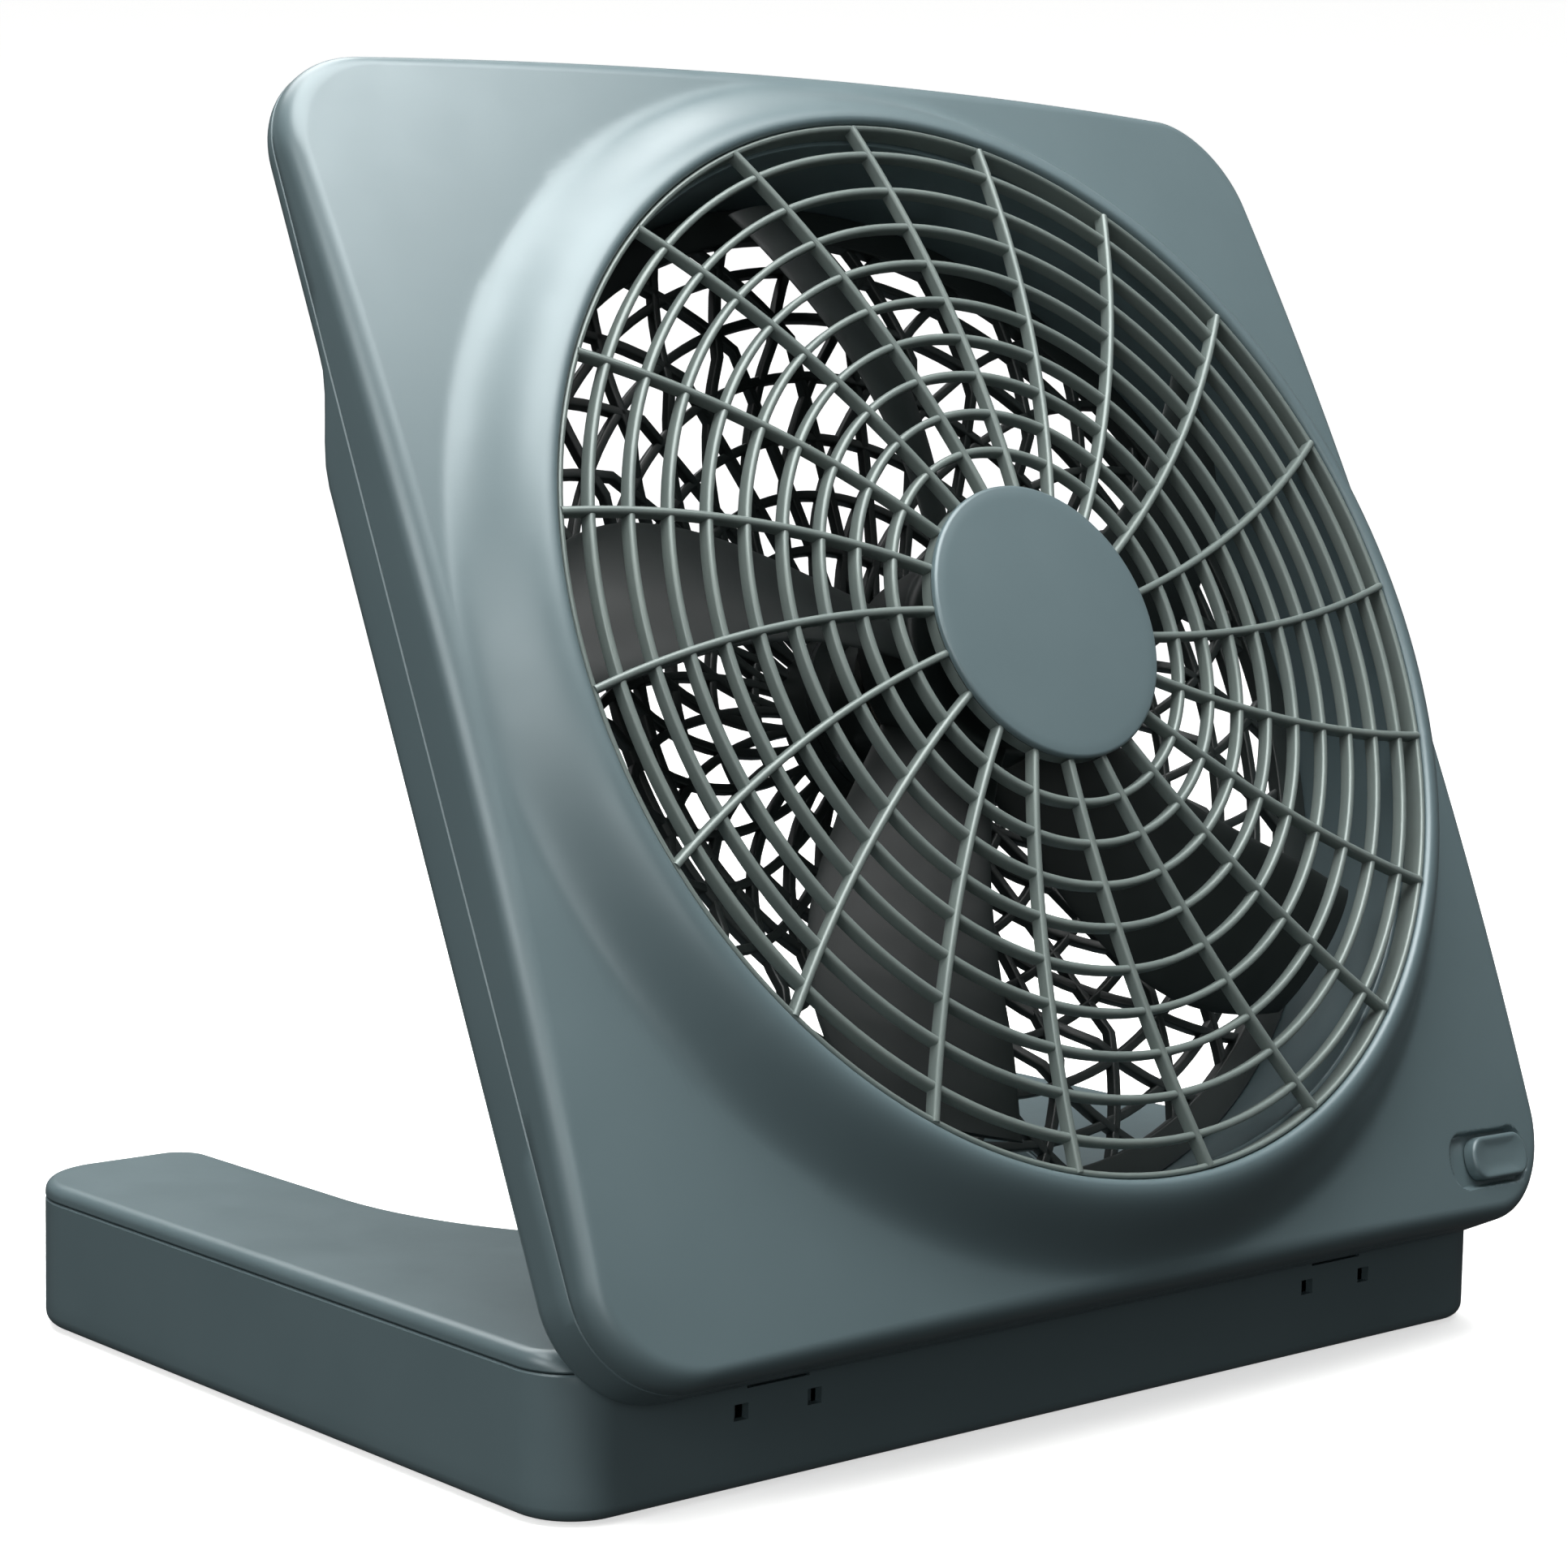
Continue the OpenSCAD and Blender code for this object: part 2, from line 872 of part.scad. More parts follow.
// Space behind the seam taken by the rear shell, drawn in by inset: full depth
// low down and round the fan, thin along the top
module rear_space(inset, front) {
    deep = -body_depth + inset;
    thin = -flange_depth + inset;
    steps = 8;
    intersection() {
        union() {
            translate([0, 0, deep + edge_r - inset])
                linear_extrude(front - deep - edge_r + inset)
                    panel_outline(inset);
            hull() {
                translate([0, 0, deep])
                    linear_extrude(0.1)
                        panel_outline(edge_r * 0.9);
                translate([0, 0, deep + edge_r - inset])
                    linear_extrude(0.1)
                        panel_outline(inset);
            }
        }
        union() {
            rotate([90, 0, 90])
                translate([0, 0, -panel_w])
                    linear_extrude(2 * panel_w)
                        polygon(concat(
                            [[half_h + overlap, front + overlap], [-half_h - overlap, front + overlap],
                             [-half_h - overlap, deep]],
                            [
                                for (i = [0:steps])
                                    [
                                        shoulder_low + (shoulder_high - shoulder_low) * i / steps,
                                        deep + (thin - deep) * smooth(i / steps)
                                    ]
                            ],
                            [[half_h + overlap, thin]]
                        ));
            translate([0, 0, deep])
                cylinder(r = drum_r - inset, h = body_depth);
        }
    }
}

module rear_shell() {
    seam = shell_seam_n - seam_gap;
    color(slate)
    difference() {
        union() {
            difference() {
                panel_frame()
                    rear_space(0, seam);
                panel_frame()
                    rear_space(shell_wall, seam + 2 * overlap);
            }
            panel_frame()
                translate([0, 0, -body_depth + shell_wall - overlap])
                    tube(shroud_r + shroud_wall, shroud_r, shroud_front_n + body_depth - shell_wall + overlap);
            panel_frame()
                for (p = shell_screw_places, side = [-1, 1])
                    translate([side * p[0], p[1], rear_plate_n(p) + 0.4])
                        cylinder(r = 4.6, h = seam - rear_plate_n(p) - 0.4, $fn = 32);
            head_frame()
                both_sides()
                    hinge_lug();
        }
        panel_frame()
            translate([0, 0, -body_depth - overlap])
                cylinder(r = rear_open_r, h = body_depth);
        panel_frame()
            for (p = shell_screw_places, side = [-1, 1])
                translate([side * p[0], p[1], rear_plate_n(p) - overlap]) {
                    cylinder(r = screw_well_r, h = overlap + shell_well_depth);
                    cylinder(r = 1.7, h = body_depth);
                }
        head_frame()
            both_sides()
                translate([lug_x - lug_w, 0, 0])
                    rotate([0, 90, 0])
                        cylinder(r = pin_r + shaft_clear, h = 2 * lug_w);
    }
}

// Outside of the rear shell behind a point of the panel
function rear_plate_n(p) = p[1] > shoulder_high ? -flange_depth : -body_depth;

// Lug on the back of the head that turns on the hinge pin
module hinge_lug() {
    reach = hinge_r + fold_gap + overlap;
    translate([lug_x - lug_w / 2, 0, 0]) {
        rotate([0, 90, 0])
            cylinder(r = lug_r, h = lug_w);
        translate([0, -reach, -lug_r])
            cube([lug_w, reach, 2 * lug_r]);
    }
}

module shell_screws() {
    color(steel)
    panel_frame()
        for (p = shell_screw_places, side = [-1, 1])
            translate([side * p[0], p[1], rear_plate_n(p) + shell_well_depth])
                screw(screw_head_r, 1.6, screw_shank_r, shell_seam_n - rear_plate_n(p) + 3);
}

// ---------------------------------------------------------------- front grille

// Front of the grille's shallow dome at radius r
function dome_n(r) =
    rim_n - 0.6 + (hub_n - rim_n - 0.8) * (1 - pow(r / opening_r, 2)) / (1 - pow(hub_r / opening_r, 2));

// A bar between radii r_in and r_out, bent to a circle, seen from the front;
// its outer end lies further round than its inner end
module bent_bar(r_in, r_out, bend_r, width) {
    turn_in = 5;
    // Middle of the bend: square to the bar's direction at its inner end
    cx = r_in - bend_r * sin(turn_in);
    cy = bend_r * cos(turn_in);
    intersection() {
        translate([cx, cy])
            difference() {
                circle(r = bend_r + width / 2, $fn = 360);
                circle(r = bend_r - width / 2, $fn = 360);
            }
        translate([r_in - 3, -width])
            square([r_out, cy]);
    }
}

// Solid between two surfaces of revolution that follow the dome
module dome_shell(r_in, r_out, depth) {
    steps = 6;
    front = [for (i = [0:steps]) let (r = r_in + (r_out - r_in) * i / steps) [r, dome_n(r)]];
    back = [for (i = [steps:-1:0]) [front[i][0], front[i][1] - depth]];
    rotate_extrude()
        polygon(concat(front, back));
}

module front_grille() {
    rim_out = lip_r - rim_clear;
    rim_in = rim_out - rim_wall;
    pitch = (opening_r - hub_r) / (ring_count + 1);
    color(grille_grey)
    panel_frame()
        difference() {
            union() {
                // Rim that sits inside the bezel's opening
                translate([0, 0, shroud_front_n + 0.2])
                    tube(rim_out, rim_in, rim_n - 0.9 - shroud_front_n - 0.2);
                for (k = [1:ring_count])
                    let (r = hub_r + k * pitch)
                    translate([0, 0, dome_n(r) - rib_t])
                        tube(r + rib_w / 2, r - rib_w / 2, rib_t);
                intersection() {
                    for (i = [0:spoke_count - 1])
                        rotate([0, 0, spoke_phase + i * 360 / spoke_count])
                            translate([0, 0, rim_n - 2 * rib_t])
                                linear_extrude(hub_n)
                                    bent_bar(hub_r, rim_out, spoke_bend_r, rib_w);
                    dome_shell(hub_r - 3, rim_in + 1, rib_t);
                }
                // Ring and plate behind the disc
                translate([0, 0, dome_n(hub_r) - rib_t - 1])
                    tube(hub_r - 0.6, hub_r - 5, rib_t + 0.2);
                translate([0, 0, dome_n(hub_r) - rib_t - 1])
                    cylinder(r = hub_r - 4, h = 1.6);
            }
            // Room for the disc, which lies on the ring
            translate([0, 0, dome_n(hub_r) - disc_sunk - sliver])
                cylinder(r = hub_r + sliver, h = hub_n);
        }
}

module hub_cap() {
    low = dome_n(hub_r) - disc_sunk;
    color(slate)
    panel_frame()
        rotate_extrude()
            polygon([
                [0, low], [hub_r - 0.8, low], [hub_r, low + 0.5], [hub_r, hub_n - 1.0],
                [hub_r - 0.3, hub_n - 0.4], [hub_r - 1, hub_n], [0, hub_n + 0.6]
            ]);
}

// ---------------------------------------------------------------- rear grille

// Rear of the rear grille at radius r: flat round the outside, then a dome
function rear_n(r) =
    let (t = max(0, min(1, (dome_r - r) / (dome_r - collar_r))))
    -body_depth - dome_drop * (1 - pow(1 - t, 2.4));

module rear_shell_of_revolution(r_in, r_out) {
    radii = [r_in, 34, 48, 62, 76, 90, dome_r, 110, r_out];
    back = [for (r = radii) [r, rear_n(r)]];
    front = [for (i = [len(radii) - 1:-1:0]) [radii[i], rear_n(radii[i]) + rear_rib_t]];
    rotate_extrude()
        polygon(concat(back, front));
}

module rear_grille() {
    rim_out = rear_open_r - rim_clear;
    collar_front = flange_n - flange_t - 0.2;
    collar_rear = -body_depth - dome_drop;
    color(slate_dark)
    panel_frame()
        difference() {
            union() {
                translate([0, 0, -body_depth])
                    tube(rim_out, rim_out - rear_rim_w, shell_wall + 0.8);
                // Flange that lies against the inside of the rear shell
                translate([0, 0, -body_depth + shell_wall + 0.1])
                    tube(shroud_r - 0.3, rim_out - rear_rim_w, 1.6);
                for (r = rear_ring_radii)
                    translate([0, 0, rear_n(r)])
                        tube(r + rear_rib_w / 2, r - rear_rib_w / 2, rear_rib_t);
                intersection() {
                    for (i = [0:lattice_count - 1], hand = [0, 1])
                        mirror([hand, 0, 0])
                            rotate([0, 0, i * 360 / lattice_count])
                                translate([0, 0, -body_depth - dome_drop - overlap])
                                    linear_extrude(dome_drop + body_depth)
                                        bent_bar(collar_r - 2, rim_out, lattice_bend_r, rear_rib_w);
                    rear_shell_of_revolution(collar_r - 2, rim_out - 2);
                }
                translate([0, 0, collar_rear])
                    cylinder(r = collar_r, h = collar_front - collar_rear);
            }
            translate([0, 0, collar_rear + 1.6])
                cylinder(r = motor_r + housing_clear + housing_wall + 0.2, h = body_depth);
            for (a = motor_screw_angles)
                rotate([0, 0, a])
                    translate([motor_screw_ring_r, 0, collar_front - 8])
                        cylinder(r = 1.15, h = 9);
        }
}

// ---------------------------------------------------------------- motor

module motor_housing() {
    in_r = motor_r + housing_clear;
    out_r = in_r + housing_wall;
    color(slate_dark)
    panel_frame()
        difference() {
            union() {
                translate([0, 0, housing_rear_n])
                    cylinder(r = out_r, h = flange_n - housing_rear_n + 10);
                translate([0, 0, flange_n - flange_t])
                    cylinder(r = collar_r - 0.2, h = flange_t);
            }
            translate([0, 0, housing_rear_n + 1.8])
                cylinder(r = in_r, h = body_depth + dome_drop);
            for (a = motor_screw_angles)
                rotate([0, 0, a])
                    translate([motor_screw_ring_r, 0, flange_n - flange_t - overlap])
                        cylinder(r = 1.5, h = flange_t + 2 * overlap);
        }
}

module motor_can() {
    in_r = motor_r - motor_wall;
    color(nickel)
    panel_frame()
        difference() {
            union() {
                translate([0, 0, motor_rear_n])
                    cylinder(r = motor_r, h = motor_front_n - motor_rear_n);
                translate([0, 0, motor_front_n - sliver])
                    cylinder(r = 5, h = 2);
            }
            translate([0, 0, motor_rear_n - overlap])
                cylinder(r = in_r, h = motor_front_n - motor_rear_n - motor_wall + overlap);
            translate([0, 0, motor_front_n - 2 * motor_wall])
                cylinder(r = bushing_r + 0.02, h = 6);
        }
}

module motor_magnets() {
    magnet_len = 22;
    color("#3a3a3a")
    panel_frame()
        translate([0, 0, motor_rear_n + 4])
            difference() {
                tube(motor_r - motor_wall - 0.05, 12, magnet_len);
                translate([0, 0, magnet_len / 2])
                    cube([2 * motor_r, 7, magnet_len + 2 * overlap], center = true);
            }
}

module motor_end_cap() {
    color("#e8e4d8")
    panel_frame()
        translate([0, 0, motor_rear_n])
            difference() {
                union() {
                    translate([0, 0, -end_cap_t])
                        cylinder(r = motor_r - 0.1, h = end_cap_t);
                    cylinder(r = motor_r - motor_wall - 0.1, h = 1.5);
                    translate([0, 0, -end_cap_t])
                        cylinder(r = 5, h = end_cap_t + 2.2);
                }
                translate([0, 0, -end_cap_t + 0.8])
                    cylinder(r = bushing_r + 0.02, h = 6);
            }
}

module motor_bushings() {
    color("#b08d57")
    panel_frame()
        for (low = [motor_front_n - motor_wall, motor_rear_n - end_cap_t + 0.85])
            translate([0, 0, low])
                tube(bushing_r, shaft_r + shaft_clear, 3);
}

module motor_screws() {
    color(steel)
    panel_frame()
        for (a = motor_screw_angles)
            rotate([0, 0, a])
                translate([motor_screw_ring_r, 0, flange_n])
                    mirror([0, 0, 1])
                        screw(2.5, 1.5, 1.1, 9);
}

// ---------------------------------------------------------------- turning pieces

module motor_shaft() {
    low = motor_rear_n - end_cap_t + 1.2;
    color(steel)
    panel_frame()
        translate([0, 0, low])
            cylinder(r = shaft_r, h = blade_hub_front_n + 4 - low);
}

module motor_armature() {
    color("#8c4a2f")
    panel_frame()
        translate([0, 0, motor_rear_n + 5])
            difference() {
                union() {
                    cylinder(r = 11, h = 20);
                    translate([0, 0, 20])
                        cylinder(r = 4, h = 4);
                }
                translate([0, 0, -overlap])
                    cylinder(r = shaft_r + 0.01, h = 30);
                for (a = [0, 120, 240])
                    rotate([0, 0, a])
                        translate([9.5, 0, 10])
                            cube([5, 3, 22], center = true);
            }
}

// Point of a blade at radius r and chord place s from -0.5 to 0.5
function blade_point(r, s, side) =
    let (
        t = (r - blade_root_r) / (blade_r - blade_root_r),
        chord = root_chord + chord_growth * smooth(t * 1.15) - 8 * pow(t, 3),
        pitch = 38 - 17 * t,
        camber = 4.5 * (1 - 4 * s * s),
        trim = 1 - 0.16 * pow(max(0, t - 0.72) / 0.28, 2),
        along = s * chord * trim,
        turn = 16 * t * t + 180 / PI * along * cos(pitch) / r
    )
    [
        r * cos(turn), r * sin(turn),
        blade_mid_n + along * sin(pitch) + camber * 0.6 + side * blade_t / 2
    ];

module blade() {
    r_steps = 9;
    s_steps = 6;
    row = s_steps + 1;
    layer = (r_steps + 1) * row;
    radii = [for (i = [0:r_steps]) blade_root_r + (blade_r - blade_root_r) * i / r_steps];
    points = [
        for (side = [1, -1], r = radii, j = [0:s_steps])
            blade_point(r, j / s_steps - 0.5, side)
    ];
    top = [
        for (i = [0:r_steps - 1], j = [0:s_steps - 1])
            let (a = i * row + j)
            each [[a, a + 1, a + row + 1], [a, a + row + 1, a + row]]
    ];
    bottom = [for (f = top) [f[0] + layer, f[2] + layer, f[1] + layer]];
    rim = concat(
        [for (j = [0:s_steps]) j],
        [for (i = [1:r_steps]) i * row + s_steps],
        [for (j = [s_steps - 1:-1:0]) r_steps * row + j],
        [for (i = [r_steps - 1:-1:1]) i * row]
    );
    wall = [
        for (k = [0:len(rim) - 1])
            let (a = rim[k], b = rim[(k + 1) % len(rim)])
            each [[b, a, a + layer], [b, a + layer, b + layer]]
    ];
    polyhedron(points, concat(top, bottom, wall));
}

module fan_blades() {
    color(blade_dark)
    panel_frame()
        difference() {
            union() {
                difference() {
                    translate([0, 0, blade_hub_rear_n])
                        cylinder(r = blade_hub_r, h = blade_hub_front_n - blade_hub_rear_n);
                    translate([0, 0, blade_hub_rear_n - overlap])
                        cylinder(
                            r = blade_hub_r - blade_hub_wall,
                            h = blade_hub_front_n - blade_hub_rear_n - blade_hub_wall + overlap
                        );
                }
                translate([0, 0, 2])
                    cylinder(r = 5, h = blade_hub_front_n - 2);
                for (i = [0:blade_count - 1])
                    rotate([0, 0, blade_phase + i * 360 / blade_count])
                        blade();
            }
            translate([0, 0, -overlap])
                cylinder(r = shaft_r + 0.01, h = 2 * blade_hub_front_n);
        }
}

// Push-on cap that holds the blades on the shaft
module blade_nut() {
    color(blade_dark)
    panel_frame()
        translate([0, 0, blade_hub_front_n + sliver])
            rotate_extrude()
                polygon([
                    [shaft_r + 0.01, 0], [7, 0], [7, 1.5], [5, 3.5], [3.5, 6], [0, 6.6],
                    [0, 4.4], [shaft_r + 0.01, 4.4]
                ]);
}

// ---------------------------------------------------------------- switch

module switch_knob() {
    low = -recess_depth + 0.1;
    color(slate_dark)
    switch_frame()
        translate([knob_rest, 0, 0])
            difference() {
                union() {
                    translate([0, 0, low])
                        linear_extrude(knob_proud - low)
                            rounded_rect(knob_len, knob_w, 3.6);
                    translate([-stem_len / 2, -stem_w / 2, -7.5])
                        cube([stem_len, stem_w, 7.5 + low + sliver]);
                }
                // Shallow dish for a fingertip
                translate([0, 0, knob_proud + 29.2])
                    rotate([90, 0, 0])
                        cylinder(r = 30, h = knob_w - 3, center = true, $fn = 180);
            }
}

module slide_switch() {
    body_len = 22;
    body_w = 10;
    body_top = -6;
    body_low = -13;
    channel = stem_len + switch_travel + 0.8;
    color("#3b3f42")
    switch_frame()
        difference() {
            translate([-body_len / 2, -body_w / 2, body_low + sliver])
                cube([body_len, body_w, body_top - body_low - sliver]);
            translate([-channel / 2, -stem_w / 2 - 0.3, body_top - 2])
                cube([channel, stem_w + 0.6, 3]);
        }
}

module switch_board() {
    board_len = 33;
    board_w = 16;
    color(board_green)
    switch_frame()
        translate([0, 0, switch_post_end - board_t])
            difference() {
                translate([-board_len / 2, -board_w / 2, 0])
                    cube([board_len, board_w, board_t]);
                for (x = [-1, 1])
                    translate([x * switch_post_x, 0, -overlap])
                        cylinder(r = 1.4, h = board_t + 2 * overlap);
            }
}

module switch_screws() {
    color(steel)
    switch_frame()
        for (x = [-1, 1])
            translate([x * switch_post_x, 0, switch_post_end - board_t])
                screw(2.2, 1.2, 1.05, 6);
}

// ---------------------------------------------------------------- assembly

base_tray();
base_cover();
hinge_pins();
base_screws();
front_feet();
battery_cells_left();
battery_cells_right();
battery_springs();
battery_contacts();
power_jack();
battery_door_left();
battery_door_right();
door_foot_left();
door_foot_right();
front_bezel();
front_grille();
hub_cap();
rear_shell();
rear_grille();
motor_housing();
motor_can();
motor_magnets();
motor_end_cap();
motor_bushings();
motor_screws();
slide_switch();
switch_board();
switch_screws();
shell_screws();
fan_blades();
motor_shaft();
motor_armature();
blade_nut();
switch_knob();
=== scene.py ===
"""The looks of a folding battery box fan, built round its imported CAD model.

Every sub-assembly is a class. Its sizes are dataclass fields in millimetres, its
methods work out the surfaces as whole numpy arrays, and its build method dresses
them and lets them ride on the CAD bodies. The fan head has its own frame: u runs
across the face, w up the face from the middle of the grille, and n forward from
the corners of the face.
"""

import json
import logging
import math
from collections.abc import Sequence
from dataclasses import dataclass, field
from enum import Enum

import bmesh
import bpy
import numpy as np
from mathutils import Matrix, Vector
from numpy.typing import NDArray


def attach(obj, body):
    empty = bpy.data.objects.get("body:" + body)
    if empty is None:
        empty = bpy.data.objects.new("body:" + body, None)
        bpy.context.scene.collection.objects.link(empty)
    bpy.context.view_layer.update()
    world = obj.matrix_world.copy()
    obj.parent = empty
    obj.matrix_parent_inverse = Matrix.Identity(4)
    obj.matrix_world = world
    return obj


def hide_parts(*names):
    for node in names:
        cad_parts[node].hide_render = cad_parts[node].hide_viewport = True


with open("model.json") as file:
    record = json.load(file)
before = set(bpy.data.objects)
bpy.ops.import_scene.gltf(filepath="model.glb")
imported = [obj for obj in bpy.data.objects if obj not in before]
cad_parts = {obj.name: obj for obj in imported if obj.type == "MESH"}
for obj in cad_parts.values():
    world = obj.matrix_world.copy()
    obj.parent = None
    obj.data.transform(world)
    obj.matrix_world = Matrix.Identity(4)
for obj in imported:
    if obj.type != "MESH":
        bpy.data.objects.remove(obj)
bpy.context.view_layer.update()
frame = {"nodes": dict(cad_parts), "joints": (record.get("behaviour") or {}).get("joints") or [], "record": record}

Array = NDArray[np.float64]
MM = 0.001
TINY = 1e-6
CORNER_SPAN = (38.0, 52.0)  # degrees of each quarter that a square's round corner takes
log = logging.getLogger("box_fan")


# ---------------------------------------------------------------- arithmetic


def smooth(t: Array | float) -> Array:
    """Ease from 0 to 1 with level ends: three t squared less two t cubed."""
    c = np.clip(t, 0.0, 1.0)
    return c * c * (3.0 - 2.0 * c)


def mix(a: Array | float, b: Array | float, t: Array | float) -> Array:
    """Value t of the way from a to b."""
    return a + (b - a) * t


def rounded_box_distance(x: Array, y: Array, length: float, width: float, radius: float) -> Array:
    """Signed distance to a rounded rectangle about the origin, negative inside.

    Args:
        x: Places along the rectangle's length.
        y: Places along its width.
        length: Full length.
        width: Full width.
        radius: Corner radius.

    Returns:
        The distance past the core rectangle, less the corner radius.
    """
    qx = np.abs(x) - length / 2 + radius
    qy = np.abs(y) - width / 2 + radius
    outside = np.hypot(np.maximum(qx, 0.0), np.maximum(qy, 0.0))
    return outside + np.minimum(np.maximum(qx, qy), 0.0) - radius


def turned(points: Array, angles: Array) -> Array:
    """Copies of points turned about the third axis, one per angle.

    Args:
        points: Any shape ending in 3.
        angles: Turns in radians.

    Returns:
        An array with one more leading axis, of the angles' length.
    """
    c, s = np.cos(angles), np.sin(angles)
    zero, one = np.zeros_like(c), np.ones_like(c)
    matrices = np.stack([np.stack([c, -s, zero], -1), np.stack([s, c, zero], -1),
                         np.stack([zero, zero, one], -1)], -2)
    return np.einsum("kij,...j->k...i", matrices, points)


def square_directions(coarse: float, fine: float) -> Array:
    """Directions round a square, in degrees: coarse steps along its sides, and fine
    ones between 38 and 52 degrees of each quarter, across its corners.

    Args:
        coarse: Step along the sides.
        fine: Step across the corners.

    Returns:
        The directions of all four quarters, rising.
    """
    first, last = CORNER_SPAN
    quarter = np.concatenate([
        np.arange(0.0, first, coarse), np.arange(first, last, fine), np.arange(last, 90.0, coarse),
    ])
    return np.concatenate([quarter + 90.0 * k for k in range(4)])


def full_turn(steps: int) -> Array:
    """Evenly spaced angles of a full turn, in radians, without the last."""
    return np.linspace(0.0, 2.0 * math.pi, steps, endpoint=False)


def unit_circle(angles: Array) -> Array:
    """Points of a unit circle at the angles, as rows of x and y."""
    return np.stack([np.cos(angles), np.sin(angles)], -1)


# ---------------------------------------------------------------- surfaces


@dataclass
class Surface:
    """Points in millimetres and the polygons that join them."""

    points: Array
    faces: list[Sequence[int]]

    def __add__(self, other: "Surface") -> "Surface":
        """Both surfaces as one mesh, side by side.

        Args:
            other: The surface that is added.

        Returns:
            Both, with the other's point numbers moved up.
        """
        shift = len(self.points)
        moved = [[i + shift for i in f] for f in other.faces]
        return Surface(np.vstack([self.points, other.points]), list(self.faces) + moved)


def grid_quads(rows: int, columns: int, close_rows: bool) -> NDArray[np.int64]:
    """Quads of a grid whose point (i, j) has the number i * columns + j, and whose
    last column joins the first.

    Args:
        rows: Points along the first way.
        columns: Points along the second way.
        close_rows: Whether the last row joins the first.

    Returns:
        An array of four point numbers a quad.
    """
    i = np.arange(rows if close_rows else rows - 1)[:, None]
    j = np.arange(columns)[None, :]
    i2, j2 = (i + 1) % rows, (j + 1) % columns
    corners = [i * columns + j, i2 * columns + j, i2 * columns + j2, i * columns + j2]
    return np.stack([np.broadcast_to(c, (i.size, j.size)) for c in corners], -1).reshape(-1, 4)


def ring_surface(rings: Array, closed: bool, caps: bool = True) -> Surface:
    """Surface through rings of points, each ring running round and meeting itself.

    Args:
        rings: Points as rings by points by three.
        closed: Whether the last ring joins the first, as on a torus.
        caps: Whether open ends get a flat polygon.

    Returns:
        The surface, with its quads in the order of the rings.
    """
    count, sides = rings.shape[:2]
    faces: list[Sequence[int]] = grid_quads(count, sides, closed).tolist()
    if caps and not closed:
        last = (count - 1) * sides
        faces.append(list(range(sides)))
        faces.append(list(range(last + sides - 1, last - 1, -1)))
    return Surface(rings.reshape(-1, 3), faces)


def many_ring_surfaces(bundles: Array, closed: bool) -> Surface:
    """One surface of several like ring surfaces, stacked along the first axis.

    Args:
        bundles: Surfaces by rings by points by three.
        closed: Whether each one's last ring joins its first.

    Returns:
        All of them as one mesh.
    """
    total = Surface(np.zeros((0, 3)), [])
    for rings in bundles:
        total = total + ring_surface(rings, closed)
    return total


def revolved(profile: Array, sides: int, poles: bool = False) -> Surface:
    """A closed profile of radius and height carried round the third axis.

    Args:
        profile: Rows of radius and height. It meets itself, or with poles runs
            from one point of the axis to the other.
        sides: Steps round.
        poles: Whether the profile's two ends lie on the axis.

    Returns:
        The surface: x is radius times cosine, y radius times sine.
    """
    body = profile[1:-1] if poles else profile
    around = unit_circle(full_turn(sides))
    rings = np.concatenate([
        body[:, None, :1] * around[None],
        np.broadcast_to(body[:, None, 1:], (len(body), sides, 1)),
    ], -1)
    if not poles:
        return ring_surface(rings, closed=True)
    whole = ring_surface(rings, closed=False, caps=False)
    first, last = len(whole.points), len(whole.points) + 1
    ends = np.array([[0.0, 0.0, profile[0, 1]], [0.0, 0.0, profile[-1, 1]]])
    j = np.arange(sides)
    k = (j + 1) % sides
    base = (len(body) - 1) * sides
    fans = np.concatenate([
        np.stack([np.full(sides, first), j, k], -1),
        np.stack([np.full(sides, last), base + k, base + j], -1),
    ])
    return Surface(np.vstack([whole.points, ends]), list(whole.faces) + fans.tolist())


def rounded_profile(corners: Sequence[tuple[float, float, float]], steps: int = 4) -> Array:
    """Closed outline with rounded corners.

    Args:
        corners: x, y and rounding radius of each corner, in order.
        steps: Points on each rounding, less one.

    Returns:
        Rows of x and y. Each rounding is the quadratic curve that starts and
        ends one radius from the corner and has the corner as its control point.
    """
    c = np.array(corners)
    point, radius = c[:, :2], c[:, 2:]
    to_last = np.roll(point, 1, axis=0) - point
    to_next = np.roll(point, -1, axis=0) - point
    start = point + to_last / np.linalg.norm(to_last, axis=1, keepdims=True) * radius
    end = point + to_next / np.linalg.norm(to_next, axis=1, keepdims=True) * radius
    t = np.linspace(0.0, 1.0, steps + 1)[None, :, None]
    curve = (1 - t) ** 2 * start[:, None] + 2 * t * (1 - t) * point[:, None] + t * t * end[:, None]
    flat = curve.reshape(-1, 2)
    apart = np.linalg.norm(flat - np.roll(flat, 1, axis=0), axis=1) > TINY
    return flat[apart]


def box(low: Sequence[float], high: Sequence[float]) -> Surface:
    """A box between two corners, with its faces outwards.

    Args:
        low: Lowest corner.
        high: Highest corner.

    Returns:
        Two square rings and their caps.
    """
    a, b = np.array(low, float), np.array(high, float)
    plan = np.array([[0, 0], [1, 0], [1, 1], [0, 1]], float)
    rings = np.stack([np.column_stack([plan, np.full(4, z)]) for z in (0.0, 1.0)])
    return ring_surface(a + rings * (b - a), closed=False)


